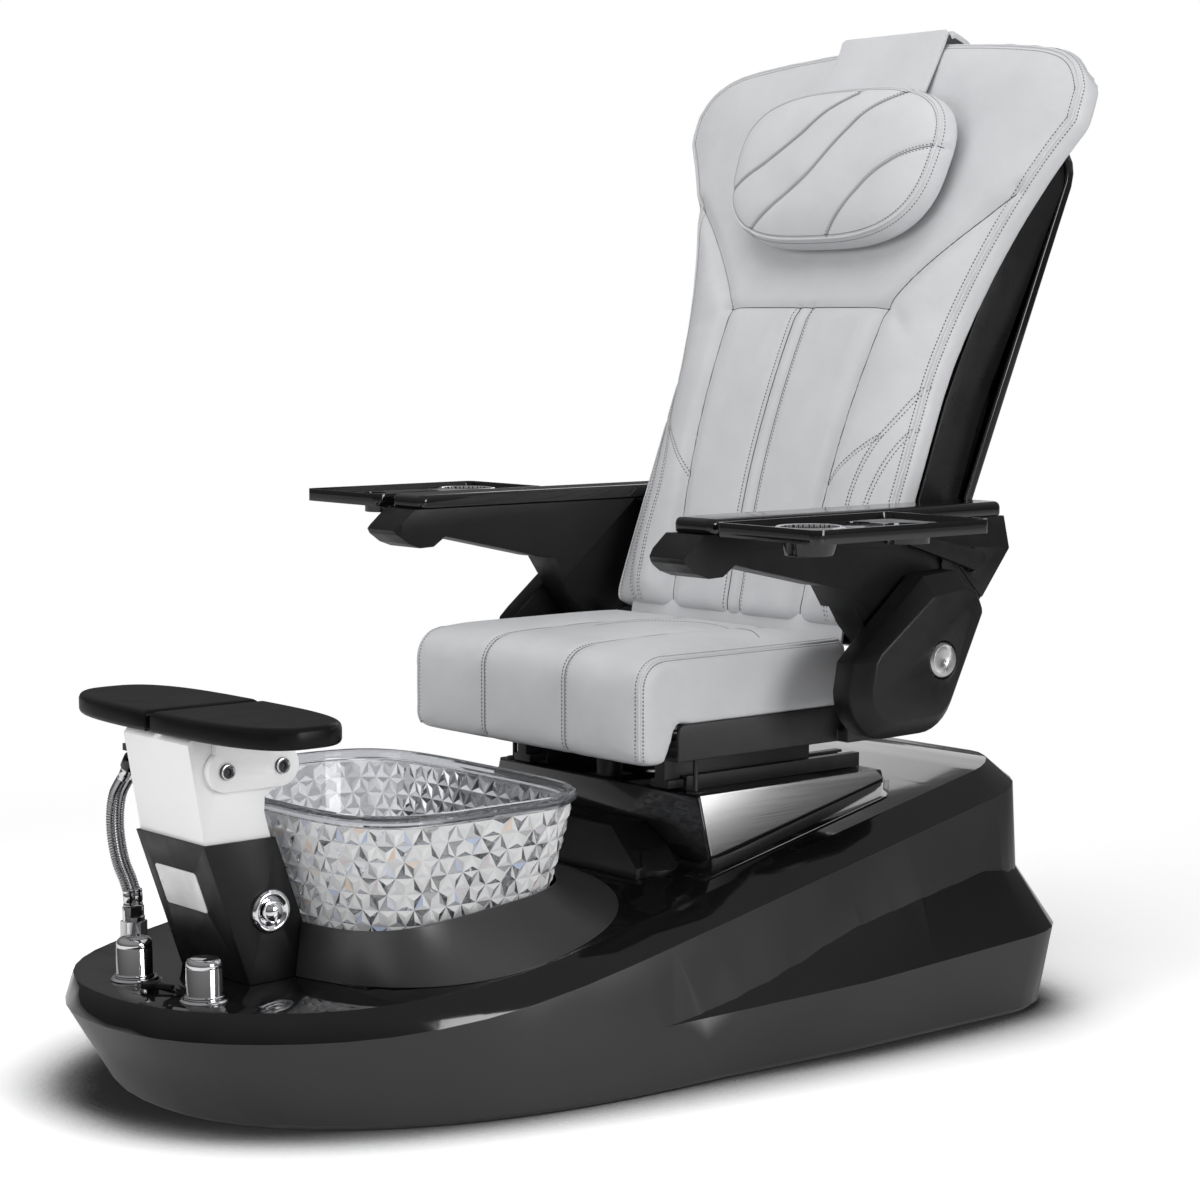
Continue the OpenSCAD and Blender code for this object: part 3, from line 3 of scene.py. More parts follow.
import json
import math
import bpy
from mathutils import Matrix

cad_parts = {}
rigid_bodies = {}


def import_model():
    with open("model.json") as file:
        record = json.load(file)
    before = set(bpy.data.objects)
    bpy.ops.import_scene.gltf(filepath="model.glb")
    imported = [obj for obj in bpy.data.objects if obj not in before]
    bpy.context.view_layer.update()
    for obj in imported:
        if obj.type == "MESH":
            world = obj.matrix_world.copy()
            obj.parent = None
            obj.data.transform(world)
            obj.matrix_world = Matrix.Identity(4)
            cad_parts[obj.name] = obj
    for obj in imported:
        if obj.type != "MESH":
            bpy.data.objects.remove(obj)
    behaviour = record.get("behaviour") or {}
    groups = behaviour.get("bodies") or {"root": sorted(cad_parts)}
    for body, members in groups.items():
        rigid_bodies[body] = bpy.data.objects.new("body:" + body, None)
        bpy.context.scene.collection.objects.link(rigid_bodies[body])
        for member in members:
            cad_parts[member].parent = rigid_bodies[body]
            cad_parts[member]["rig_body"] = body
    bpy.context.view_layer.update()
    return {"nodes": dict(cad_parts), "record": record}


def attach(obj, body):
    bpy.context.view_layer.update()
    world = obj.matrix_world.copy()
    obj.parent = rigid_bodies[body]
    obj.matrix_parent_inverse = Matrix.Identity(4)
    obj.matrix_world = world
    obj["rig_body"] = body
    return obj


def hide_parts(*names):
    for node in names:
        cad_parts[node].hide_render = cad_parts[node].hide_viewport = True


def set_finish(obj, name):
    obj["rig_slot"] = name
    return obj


bl_info = {
    "name": "Pedicure Spa Chair",
    "version": (1, 0, 0),
    "blender": (4, 5, 0),
    "location": "View3D > Sidebar > Spa Chair",
    "description": "Dresses the packed chair with materials, upholstery, glass and stitching",
    "category": "Object",
}

import bmesh
import bpy
import numpy as np
from bpy.props import FloatProperty, FloatVectorProperty, IntProperty, PointerProperty
from mathutils import Matrix, Vector
from mathutils.bvhtree import BVHTree
from mathutils.kdtree import KDTree

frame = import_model()
NODES = frame["nodes"]
SLOTS = {part["node"]: part["material_slot"] for part in frame["record"]["subparts"]}
BODIES = {
    node: body
    for body, nodes in frame["record"]["behaviour"]["bodies"].items()
    for node in nodes
}
MM = 0.001


# ---- Shape of the chair, in millimetres, as in the part's own source ----

BOWL_Y = -262
BOWL_FLOOR = 156
BOWL_TOP = 372
BOWL_LIP = 16
GLASS_T = 8
DRAIN_R = 26
SEAT_HALF_W = 250
SEAT_FRONT = -19
SEAT_REAR = 358
SEAT_TOP = 536
SEAT_LIP = 390
SEAT_ROUND = 42
SEAM_X = 88
BACK_LEAN = math.radians(21.1)
BACK_LENGTH = 893
BACK_ORIGIN = Vector((0, 367, 548))
SHOULDER = 402
PANEL_SEAM_U = 464
WING_SEAM_U = 652
CHANNEL = 13
PILLOW_U = 672
PILLOW_X = 12
PILLOW_FACE = -83
DECK_FRONT = 150
DECK_BEND_Y = -359
DECK_BEND = 170
DECK_SLOPE = 0.208
WAIST = 268
FLARE_LOW = 350
FLARE_HIGH = 800
BOLSTER_FOOT = 134
BOLSTER_BAR = 163
BOLSTER_WING = 335
TOP_CROWN = 32
TOP_CORNER = 61
BACK_CROWN = 17
BACK_THICK = 46


def mix(a, b, t):
    """The value at a share t of the way from a to b."""
    return a + (b - a) * t


def run_along(path):
    """Distance along a polyline at each of its points, over the first three columns."""
    steps = np.linalg.norm(np.diff(path[:, :3], axis=0), axis=1)
    return np.concatenate([[0], np.cumsum(steps)])


def sampled(path, run, at):
    """Rows of a polyline at some distances along it."""
    return np.stack([np.interp(at, run, column) for column in path.T], axis=1)


def even_path(dense, spacing):
    """Rows along a polyline at an even spacing."""
    dense = np.asarray(dense, float)
    run = run_along(dense)
    return sampled(dense, run, np.linspace(0, run[-1], max(2, round(run[-1] / spacing) + 1)))


def even_ring(a, b, n, count, phase=0.5):
    """Points at even distances round a superellipse, starting at its front."""
    dense = superellipse(a, b, n, 1440, 0)
    closed = np.vstack([dense, dense[:1]])
    run = run_along(closed)
    return sampled(closed, run, (np.arange(count) + phase) / count * run[-1])


def superellipse(a, b, n, count, phase=0.5):
    """Points of a superellipse round the origin, one row per point."""
    angle = np.radians(-90 + (np.arange(count) + phase) * 360 / count)
    c, s = np.cos(angle), np.sin(angle)
    return np.stack(
        [a * np.sign(c) * abs(c) ** (2 / n), b * np.sign(s) * abs(s) ** (2 / n)], axis=1
    )


def deck_height(y):
    """Height of the deck: level in front, a smooth bend, then a steady slope."""
    t = np.asarray(y, float) - DECK_BEND_Y
    bend = (np.clip(t, -DECK_BEND, DECK_BEND) + DECK_BEND) ** 2 / (4 * DECK_BEND)
    return DECK_FRONT + DECK_SLOPE * (bend + np.maximum(t - DECK_BEND, 0))


def on_back(x, y, u):
    """A point given across, behind and up the slope of the back, in metres."""
    c, s = math.cos(BACK_LEAN), math.sin(BACK_LEAN)
    return Vector((x, BACK_ORIGIN.y + y * c + u * s, BACK_ORIGIN.z - y * s + u * c)) * MM


def back_way(x, y, u):
    """A direction in the back's own frame, as a unit vector."""
    return (on_back(x, y, u) - on_back(0, 0, 0)).normalized()


def to_back(points):
    """World points in metres as rows across, behind and up the slope, in millimetres."""
    rel = np.asarray(points) / MM - np.array(BACK_ORIGIN)
    c, s = math.cos(BACK_LEAN), math.sin(BACK_LEAN)
    return np.stack(
        [rel[:, 0], rel[:, 1] * c - rel[:, 2] * s, rel[:, 1] * s + rel[:, 2] * c], axis=1
    )


def back_half_width(u):
    """Half width of the back cushion: straight to its waist, then flared to the shoulders."""
    rise = (u - FLARE_LOW) / (FLARE_HIGH - FLARE_LOW)
    return mix(WAIST, SHOULDER, min(1, max(0, rise)) ** 1.6)


def bolster_seam(u):
    """Half spacing of the curved seams that part the bolsters from the middle."""
    if u < PANEL_SEAM_U:
        return mix(BOLSTER_FOOT, BOLSTER_BAR, u / PANEL_SEAM_U)
    rise = (u - PANEL_SEAM_U) / (WING_SEAM_U - PANEL_SEAM_U)
    return mix(BOLSTER_BAR, BOLSTER_WING, min(1, rise) ** 1.25)


def top_drop(q):
    """How much lower the top edge is at a share of the width, 0 in the middle."""
    return TOP_CROWN * q**2 + TOP_CORNER * q**14


def back_row(u):
    """Half section of the back cushion at a height: front face, side wall, rear face."""
    wide = back_half_width(u)
    crown = BACK_CROWN * math.sqrt(max(0, math.sin(math.pi * (u / BACK_LENGTH) ** 0.8)))
    pinch = max(0, 1 - (BACK_LENGTH - u) / 20) ** 2 + 0.3 * max(0, 1 - u / 12) ** 2
    rows = [
        (x, pinch * 15 + (x / wide) ** 2 - crown * (1 - (x / wide) ** 4))
        for x in [*np.linspace(6, wide - 40, 16), *np.linspace(wide - 34, wide - 13, 5)]
    ]
    rows += [(wide - 6, 3 + pinch * 13), (wide - 1, 13), (wide, 24), (wide - 2, 38)]
    rows += [(wide - 8, BACK_THICK - 2.5)]
    rows += [(x, BACK_THICK) for x in np.linspace(wide - 20, 6, 12)]
    return [(x, y, u - top_drop(x / wide) * (u / BACK_LENGTH) ** 5) for x, y in rows]


def back_form():
    """The back cushion's form, as rings up its slope."""
    levels = [0, 2, 5, 10, *np.linspace(18, BACK_LENGTH - 21, 90)]
    levels += [BACK_LENGTH - rest for rest in (13, 7, 3, 0)]
    bm = bmesh.new()
    rings = []
    for u in levels:
        half = back_row(u)
        ring = half + [(-x, y, up) for x, y, up in reversed(half)]
        rings.append([on_back(*point) for point in ring])
    solid(bm, rings)
    return bm


def back_outline(inset):
    """Half of the back's outline, from the foot of the side to the middle of the top."""
    side = [
        (back_half_width(u), u - top_drop(1) * (u / BACK_LENGTH) ** 5)
        for u in np.linspace(0, BACK_LENGTH, 60)
    ]
    top = [
        (SHOULDER * q, BACK_LENGTH - top_drop(q)) for q in np.linspace(0.995, 0, 40)
    ]
    path = even_path(side + top, 6)
    way = np.gradient(path, axis=0)
    way /= np.linalg.norm(way, axis=1)[:, None]
    return path + np.stack([-way[:, 1], way[:, 0]], axis=1) * inset, way


# ---- Materials ----

LEATHER = (0.575, 0.58, 0.595)
THREAD = (0.1, 0.1, 0.107)
# Colour of the dark tubes down in the seams: painted shade.
SEAM_SHADE = (0.05, 0.05, 0.054)
GLOSS = (0.0045, 0.0045, 0.005)
SHELL = (0.02, 0.02, 0.021)
PLASTIC = (0.006, 0.006, 0.0064)
ENAMEL = (0.93, 0.93, 0.93)


def colors():
    """The colours that a user may change."""
    return bpy.context.scene.spa_chair_colors


def sizes():
    """The sizes that a user may change."""
    return bpy.context.scene.spa_chair_sizes


def studio():
    """The stage settings that a user may change."""
    return bpy.context.scene.spa_chair_stage


def feed(tree, socket, value):
    """Gives an input a value, or links it where the value is an output."""
    if isinstance(value, bpy.types.NodeSocket):
        tree.links.new(value, socket)
    else:
        socket.default_value = value


def add_node(tree, kind, inputs=None, **settings):
    """A node with its settings, and with its inputs fed by name or place."""
    made = tree.nodes.new(kind)
    for key, value in settings.items():
        setattr(made, key, value)
    for key, value in (inputs or {}).items():
        feed(tree, made.inputs[key], value)
    return made


def mapped(tree, value, low, high, at_low, at_high, kind="LINEAR"):
    """Maps a range of a value to another range."""
    inputs = {"Value": value, "From Min": low, "From Max": high, "To Min": at_low}
    inputs["To Max"] = at_high
    made = add_node(tree, "ShaderNodeMapRange", inputs, interpolation_type=kind)
    return made.outputs["Result"]


def blended(tree, share, first, second):
    """Mixes two shader nodes."""
    inputs = {0: share, 1: first.outputs[0], 2: second.outputs[0]}
    return add_node(tree, "ShaderNodeMixShader", inputs)


class Recipe:
    """One node material, grown around its Principled shader."""

    def __init__(self, name, color, roughness=0.5, metallic=0.0, **sockets):
        self.material = bpy.data.materials.new(name)
        self.material.use_nodes = True
        self.tree = self.material.node_tree
        self.shader = self.tree.nodes["Principled BSDF"]
        self.color = color
        self.place = self.node("ShaderNodeTexCoord").outputs["Object"]
        self.normal = None
        self.set("Base Color", (*color, 1))
        self.set("Roughness", roughness)
        self.set("Metallic", metallic)
        for socket, value in sockets.items():
            self.set(socket.replace("_", " "), value)

    def node(self, kind, inputs=None, **settings):
        return add_node(self.tree, kind, inputs, **settings)

    def set(self, socket, value):
        """Feeds one of the shader's inputs."""
        feed(self.tree, self.shader.inputs[socket], value)

    def stretched(self, scale):
        """Object coordinates, stretched."""
        return self.node("ShaderNodeMapping", {"Vector": self.place, "Scale": scale}).outputs[0]

    def noise(self, scale, detail=3.0, rough=0.5, at=None, distortion=0.0):
        """Cloudy noise; its scale counts the clouds in a metre."""
        inputs = {"Vector": at or self.place, "Scale": scale, "Detail": detail}
        inputs |= {"Roughness": rough, "Distortion": distortion}
        return self.node("ShaderNodeTexNoise", inputs).outputs["Fac"]

    def cells(self, scale, feature="DISTANCE_TO_EDGE"):
        """Grain of small cells."""
        inputs = {"Vector": self.place, "Scale": scale}
        return self.node("ShaderNodeTexVoronoi", inputs, feature=feature).outputs["Distance"]

    def tint(self, value, dark, light, start=0.3, end=0.7):
        """Varies the base colour between a darker and a lighter share of it."""
        shades = self.node("ShaderNodeValToRGB", {"Fac": value})
        for element, place, share in zip(shades.color_ramp.elements, (start, end), (dark, light)):
            element.position = place
            element.color = (*[c * share for c in self.color], 1)
        self.set("Base Color", shades.outputs["Color"])

    def rough(self, value, low, high, start=0.3, end=0.7):
        """Maps a texture's value to a range of roughness."""
        self.set("Roughness", mapped(self.tree, value, start, end, low, high))

    def bump(self, height, strength, distance):
        """Adds a fine relief to those that are there already."""
        inputs = {"Height": height, "Strength": strength, "Distance": distance}
        if self.normal:
            inputs["Normal"] = self.normal
        self.normal = self.node("ShaderNodeBump", inputs).outputs["Normal"]
        self.set("Normal", self.normal)


def leather(color):
    recipe = Recipe("grey leather", color, 0.48, Specular_IOR_Level=0.42)
    recipe.tint(recipe.noise(9, 4, 0.6), 0.955, 1.035, 0.34, 0.66)
    recipe.rough(recipe.noise(60, 3), 0.44, 0.56)
    recipe.bump(recipe.noise(26, 4, 0.55, distortion=0.6), 0.2, 0.004)
    recipe.bump(recipe.cells(760), 0.16, 0.0006)
    recipe.bump(recipe.noise(420, 2), 0.12, 0.0006)
    return recipe.material


def gloss_black(name, color, rough=0.07):
    recipe = Recipe(name, color, rough, Specular_IOR_Level=0.5, Coat_Weight=0.35)
    recipe.set("Coat Roughness", 0.03)
    recipe.rough(recipe.noise(7, 4, 0.6), rough * 0.8, rough * 1.5)
    recipe.tint(recipe.noise(3, 2), 0.8, 1.3)
    recipe.bump(recipe.noise(70, 2), 0.02, 0.002)
    return recipe.material


def satin_shell(name, color, rough=0.3, metallic=0.0):
    recipe = Recipe(name, color, rough, metallic, Specular_IOR_Level=0.5)
    recipe.rough(recipe.noise(6, 4, 0.6), rough - 0.03, rough + 0.04)
    recipe.tint(recipe.noise(2.5, 3), 0.85, 1.15)
    recipe.bump(recipe.noise(110, 2), 0.03, 0.001)
    return recipe.material


def grained_plastic(name, color, rough=0.4):
    recipe = Recipe(name, color, rough, Specular_IOR_Level=0.32)
    recipe.rough(recipe.noise(40, 3), rough - 0.05, rough + 0.07)
    recipe.tint(recipe.noise(12, 3), 0.85, 1.25)
    recipe.bump(recipe.cells(1500, "F1"), 0.14, 0.0004)
    recipe.bump(recipe.noise(700, 3), 0.16, 0.0004)
    return recipe.material


def vinyl_black():
    recipe = Recipe("black vinyl", (0.005, 0.005, 0.0055), 0.3, Specular_IOR_Level=0.15)
    recipe.rough(recipe.noise(30, 3), 0.27, 0.33)
    recipe.tint(recipe.noise(8, 3), 0.8, 1.3)
    recipe.bump(recipe.cells(1100), 0.06, 0.0003)
    recipe.bump(recipe.noise(12, 2), 0.03, 0.002)
    return recipe.material


def painted_white(color):
    recipe = Recipe("white enamel", color, 0.32, Specular_IOR_Level=0.5)
    recipe.tint(recipe.noise(5, 3), 0.97, 1.01)
    recipe.rough(recipe.noise(20, 3), 0.28, 0.38)
    recipe.bump(recipe.noise(260, 2), 0.05, 0.0008)
    return recipe.material


def metal(name, color, rough, along=None):
    """Bare metal; along stretches its brushing so that lines run that way."""
    recipe = Recipe(name, color, rough, 1.0)
    if along:
        lines = recipe.noise(1, 4, 0.6, recipe.stretched(along))
        recipe.rough(lines, rough * 0.75, rough * 1.35)
        recipe.tint(lines, 0.86, 1.08)
        recipe.bump(lines, 0.1, 0.0004)
    else:
        recipe.rough(recipe.noise(35, 3), rough * 0.6, rough * 1.6)
        recipe.tint(recipe.noise(14, 3), 0.96, 1.03)
        recipe.bump(recipe.noise(60, 2), 0.01, 0.001)
    return recipe.material


def cast_metal(name, color, rough):
    recipe = Recipe(name, color, rough, 1.0)
    recipe.rough(recipe.noise(80, 3), rough - 0.1, rough + 0.12)
    recipe.tint(recipe.noise(25, 4), 0.85, 1.1)
    recipe.bump(recipe.noise(400, 3), 0.2, 0.0006)
    return recipe.material


def powder_coat():
    recipe = Recipe("powder coat", (0.018, 0.018, 0.02), 0.45, Specular_IOR_Level=0.5)
    recipe.rough(recipe.noise(50, 3), 0.4, 0.52)
    recipe.tint(recipe.noise(20, 3), 0.85, 1.2)
    recipe.bump(recipe.noise(900, 2), 0.18, 0.0004)
    return recipe.material


# Painted light on the glass facets: dark painted shade, white painted highlight, and blue and
# orange painted glints.
GLASS_PAINTED_LIGHT = [
    (0.08, (0.5, 0.51, 0.54)), (0.18, (0.86, 0.87, 0.9)), (0.28, (0.98, 0.985, 1.0)),
    (0.8, (1.0, 1.0, 1.0)), (0.83, (0.6, 0.7, 0.95)), (0.87, (1.0, 0.8, 0.64)),
    (0.9, (1.0, 1.0, 1.0)),
]
# Facets with more painted highlight are less clear, so that they show white.
GLASS_CLEARING = (0.31, 0.46, 0.97, 0.3)


def clear_glass():
    """Glass whose facets differ: the attribute called cut gives each its painted shade, painted
    highlight and clearness.
    """
    recipe = Recipe("clear glass", (0.985, 0.992, 1.0), 0.0, IOR=1.5)
    recipe.rough(recipe.noise(30, 2), 0.0, 0.012)
    cut = recipe.node("ShaderNodeAttribute", attribute_name="cut").outputs["Fac"]
    shades = recipe.node("ShaderNodeValToRGB", {"Fac": cut})
    elements = shades.color_ramp.elements
    for position, shade in GLASS_PAINTED_LIGHT:
        elements.new(position).color = (*shade, 1)
    elements[0].color = (*GLASS_PAINTED_LIGHT[0][1], 1)
    recipe.set("Base Color", shades.outputs["Color"])
    recipe.set("Transmission Weight", mapped(recipe.tree, cut, *GLASS_CLEARING))
    recipe.bump(recipe.noise(45, 2), 0.03, 0.002)
    return recipe.material


def turned_steel():
    """Lathe-turned faces: the light gathers in rays from the middle."""
    recipe = Recipe("turned steel", (0.62, 0.62, 0.63), 0.3, 1.0, Anisotropic=0.85)
    tangent = recipe.node("ShaderNodeTangent", direction_type="RADIAL", axis="X")
    recipe.set("Tangent", tangent.outputs["Tangent"])
    recipe.rough(recipe.noise(60, 3), 0.26, 0.34)
    recipe.tint(recipe.noise(30, 3), 0.95, 1.05)
    return recipe.material


def thread(name, color):
    recipe = Recipe(name, color, 0.6)
    recipe.tint(recipe.noise(300, 2), 0.8, 1.15)
    recipe.rough(recipe.noise(500, 2), 0.5, 0.7)
    recipe.bump(recipe.noise(2600, 2), 0.4, 0.0003)
    return recipe.material


RECIPES = {
    "leather": lambda: leather(colors().leather),
    "thread": lambda: thread("thread", colors().thread),
    # The seam tubes' dark thread is painted shade down in the seams.
    "seam": lambda: thread("seam shadow", colors().seam),
    "gloss": lambda: gloss_black("gloss black", colors().gloss),
    "lacquer": lambda: gloss_black("black lacquer", (0.006, 0.006, 0.0065), 0.1),
    "shell": lambda: satin_shell("satin shell", colors().shell),
    "ring": lambda: satin_shell("satin ring", (0.1, 0.1, 0.102), 0.34, 0.75),
    "plastic": lambda: grained_plastic("grained plastic", colors().plastic),
    "body": lambda: grained_plastic("satin body", (0.01, 0.01, 0.0105), 0.3),
    "vinyl": vinyl_black,
    "white": lambda: painted_white(colors().enamel),
    "panel": lambda: grained_plastic("touch panel", (0.72, 0.72, 0.73), 0.3),
    "chrome": lambda: metal("chrome", (0.86, 0.86, 0.88), 0.05),
    "brushed": lambda: metal("brushed steel", (0.4, 0.4, 0.405), 0.36, (90, 6, 2600)),
    "turned": turned_steel,
    "bright": lambda: metal("ground steel", (0.6, 0.6, 0.62), 0.22, (60, 60, 700)),
    "braid": lambda: metal("wound steel", (0.5, 0.5, 0.52), 0.22),
    "dark steel": lambda: cast_metal("dark steel", (0.07, 0.07, 0.075), 0.35),
    "brass": lambda: cast_metal("brass", (0.72, 0.52, 0.25), 0.34),
    "zinc": lambda: cast_metal("zinc sheet", (0.42, 0.43, 0.45), 0.45),
    "coat": powder_coat,
    "pipe": lambda: grained_plastic("grey plastic", (0.2, 0.2, 0.21)),
    "glass": clear_glass,
}
MADE = {}


def material(finish):
    """The chair's material for a finish, made at its first use."""
    if finish not in MADE:
        MADE[finish] = RECIPES[finish]()
    return MADE[finish]


# ---- Mesh helpers ----


def skin(bm, rings):
    """Bridges closed rings of points, given in metres, into one surface."""
    loops = []
    for ring in rings:
        verts = [bm.verts.new(point) for point in ring]
        loops.append([bm.edges.new((verts[i - 1], v)) for i, v in enumerate(verts)])
    for low, high in zip(loops, loops[1:]):
        bmesh.ops.bridge_loops(bm, edges=low + high)
    return loops


def solid(bm, rings):
    """A skin over rings with both of its ends closed."""
    loops = skin(bm, rings)
    for loop in (loops[0], loops[-1]):
        bmesh.ops.contextual_create(bm, geom=loop)


def lathe(bm, profile, matrix=Matrix(), steps=48):
    """Turns a profile of (radius, height) in millimetres round the matrix's Z axis."""
    verts = [bm.verts.new(matrix @ Vector((r * MM, 0, h * MM))) for r, h in profile]
    edges = [bm.edges.new(pair) for pair in zip(verts, verts[1:])]
    bmesh.ops.spin(
        bm,
        geom=verts + edges,
        cent=matrix.translation,
        axis=matrix.to_3x3().col[2],
        angle=math.tau,
        steps=steps,
        use_merge=True,
    )


def tube(bm, path, radii, sides):
    """Closed tube along a path, with a radius for each of its points, in metres."""
    path = [Vector(point) for point in path]
    last = len(path) - 1
    side = (path[1] - path[0]).orthogonal().normalized()
    rings = []
    for i, (point, radius) in enumerate(zip(path, radii)):
        tangent = (path[min(i + 1, last)] - path[max(i - 1, 0)]).normalized()
        side = (side - tangent * side.dot(tangent)).normalized()
        across = tangent.cross(side)
        rings.append(
            [
                point + (side * math.cos(angle) + across * math.sin(angle)) * radius
                for angle in (k * math.tau / sides for k in range(sides))
            ]
        )
    solid(bm, rings)


def smooth_path(points, spacing):
    """Catmull-Rom curve through points, sampled at an even spacing."""
    pts = np.array([list(p) for p in points], float)
    pts = np.vstack([2 * pts[0] - pts[1], pts, 2 * pts[-1] - pts[-2]])
    t = np.linspace(0, 1, 24, endpoint=False)[:, None]
    parts = []
    for a, b, c, d in zip(pts, pts[1:], pts[2:], pts[3:]):
        bend = 2 * a - 5 * b + 4 * c - d
        twist = 3 * b - a - 3 * c + d
        parts.append(0.5 * (2 * b + (c - a) * t + bend * t**2 + twist * t**3))
    return even_path(np.vstack([*parts, pts[-2:-1]]), spacing)


def from_mesh(name, mesh, finish, body, slot, replaced=(), sharp=None):
    """Finished piece from a mesh, riding on a body."""
    mesh.materials.clear()
    mesh.materials.append(material(finish))
    mesh.polygons.foreach_set("use_smooth", [True] * len(mesh.polygons))
    if sharp:
        mesh.set_sharp_from_angle(angle=math.radians(sharp))
    made = bpy.data.objects.new(name, mesh)
    bpy.context.scene.collection.objects.link(made)
    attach(made, body)
    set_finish(made, slot)
    if replaced:
        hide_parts(*replaced)
    return made


def piece(name, bm, finish, body, slot, replaced=(), sharp=None):
    """Turns a bmesh into a finished piece that rides on a body."""
    bmesh.ops.remove_doubles(bm, verts=bm.verts, dist=1e-6)
    bmesh.ops.recalc_face_normals(bm, faces=bm.faces)
    mesh = bpy.data.meshes.new(name)
    bm.to_mesh(mesh)
    bm.free()
    return from_mesh(name, mesh, finish, body, slot, replaced, sharp)


def round_edges(made, width, angle=30, segments=2):
    """Bevels the edges sharper than an angle, by a width in millimetres."""
    bevel = made.modifiers.new("Rounded edges", "BEVEL")
    bevel.width = width * MM
    bevel.segments = segments
    bevel.limit_method = "ANGLE"
    bevel.angle_limit = math.radians(angle)
    bevel.harden_normals = True


HOLED = ("base_shell", "left_tray", "right_tray", "tap_flanges")
FLAT = math.radians(0.7)


def cad_mesh(node):
    """The CAD node's mesh with its corners merged, and its flat faces whole unless holed."""
    bm = bmesh.new()
    bm.from_mesh(NODES[node].data)
    bmesh.ops.remove_doubles(bm, verts=bm.verts, dist=1e-5)
    if node not in HOLED:
        bmesh.ops.dissolve_limit(bm, angle_limit=FLAT, verts=bm.verts, edges=bm.edges)
    return bm


def softened(node, finish, width=1.2, angle=30, segments=2):
    """Copy of a rigid CAD node with its edges rounded as a moulding's are."""
    made = piece(f"{node}_dress", cad_mesh(node), finish, BODIES[node], SLOTS[node], [node])
    round_edges(made, width, angle, segments)
    return made


def dress(node, finish):
    """Gives a CAD node that keeps its own mesh a finish."""
    for place in NODES[node].material_slots:
        place.material = material(finish)


# ---- Upholstery ----

PRESSURE = 4.0
BACK_SWELL = 0.022
SEAM_DEPTH = 0.0065
SEAM_HOLD = 5
STITCH = 0.0037
PITCH = 0.0052
CLOTH = {
    "vertex_group_mass": "held",
    "use_pressure": True,
    "quality": 5,
    "mass": 0.3,
    "tension_stiffness": 12,
    "compression_stiffness": 12,
    "bending_stiffness": 0.6,
    "air_damping": 3,
}
SWELL_STEPS = 20
RAY_START = 0.06
RAY_LENGTH = 0.14
SWAY = 0.5
SWAY_LENGTH = 23
SWAY_TOP = 890
CORNER = 6
CORNER_FOOT = 885
STITCH_HALF = (1.0, 0.7)


def vertex_rows(mesh, key="co"):
    """A vector of each vertex, as rows."""
    rows = np.zeros(len(mesh.vertices) * 3)
    mesh.vertices.foreach_get(key, rows)
    return rows.reshape(-1, 3)


def evaluated(made):
    """Mesh of an object with its modifiers applied."""
    graph = bpy.context.evaluated_depsgraph_get()
    graph.update()
    return bpy.data.meshes.new_from_object(made.evaluated_get(graph))


def modified(mesh, kind, **settings):
    """A mesh passed through one modifier."""
    made = bpy.data.objects.new("work", mesh)
    bpy.context.scene.collection.objects.link(made)
    modifier = made.modifiers.new(kind, kind)
    for key, value in settings.items():
        setattr(modifier, key, value)
    result = evaluated(made)
    bpy.data.objects.remove(made)
    return result


def swell(mesh, hold, reach):
    """Cloth under pressure, pinned by the hold weights; no point moves more than reach."""
    made = bpy.data.objects.new("work", mesh)
    bpy.context.scene.collection.objects.link(made)
    start = vertex_rows(mesh)
    group = made.vertex_groups.new(name="held")
    weights = hold(start)
    for level in np.unique(weights.round(1)):
        chosen = np.nonzero(weights.round(1) == level)[0].tolist()
        group.add(chosen, float(level), "REPLACE")
    cloth = made.modifiers.new("Cloth", "CLOTH")
    for key, value in CLOTH.items():
        setattr(cloth.settings, key, value)
    cloth.settings.uniform_pressure_force = sizes().pressure
    cloth.settings.effector_weights.gravity = 0
    cloth.collision_settings.use_collision = False
    for step in range(1, SWELL_STEPS + 1):
        bpy.context.scene.frame_set(step)
    moved = vertex_rows(evaluated(made)) - start
    bpy.context.scene.frame_set(1)
    bpy.data.objects.remove(made)
    length = np.linalg.norm(moved, axis=1)[:, None]
    moved *= np.minimum(1, reach * MM / np.maximum(length, 1e-9))
    mesh.vertices.foreach_set("co", (start + moved).ravel())
    return mesh


def stuffed(name, bm, voxel, shape, hold, reach, even=3):
    """A cushion's skin: a form in fine facets, shaped, then swollen between its seams.
    """
    mesh = bpy.data.meshes.new(name)
    bm.to_mesh(mesh)
    bm.free()
    mesh = modified(mesh, "REMESH", mode="VOXEL", voxel_size=voxel * MM)
    mesh = modified(mesh, "SMOOTH", factor=0.5, iterations=even)
    if shape:
        points = vertex_rows(mesh)
        mesh.vertices.foreach_set("co", (points + shape(points)).ravel())
    mesh = swell(mesh, hold, reach)
    mesh = modified(mesh, "SMOOTH", factor=0.5, iterations=even)
    return modified(mesh, "SUBSURF", levels=1, render_levels=1)


def ramp(value, low, high):
    """Smooth step from 0 at low to 1 at high."""
    t = np.clip((np.asarray(value, float) - low) / (high - low), 0, 1)
    return t * t * (3 - 2 * t)


def strip(name, section, low_x, high_x, body, replaced=(), width=1.2):
    """Leather sheet with a section of (behind, up the slope) points, run across the back.

    It sways a little below the top edge of the back, and its corners there are rounded.
    """
    bm = bmesh.new()
    rings = []
    middle, half = (low_x + high_x) / 2, (high_x - low_x) / 2
    right = [*range(0, 81, 16), half - CORNER, half - CORNER / 2, half - 1, half]
    for x in [-each for each in reversed(right)] + right[1:]:
        sway = SWAY * math.sin((middle + x) / SWAY_LENGTH)
        drop = CORNER * max(0, 1 - (half - abs(x)) / CORNER) ** 2
        rings.append(
            [
                on_back(middle + x, y + sway * (u < SWAY_TOP), u - drop * (u > CORNER_FOOT))
                for y, u in section
            ]
        )
    solid(bm, rings)
    made = piece(name, bm, "leather", body, "grey_leather", replaced)
    round_edges(made, width, 35, 3)
    return made


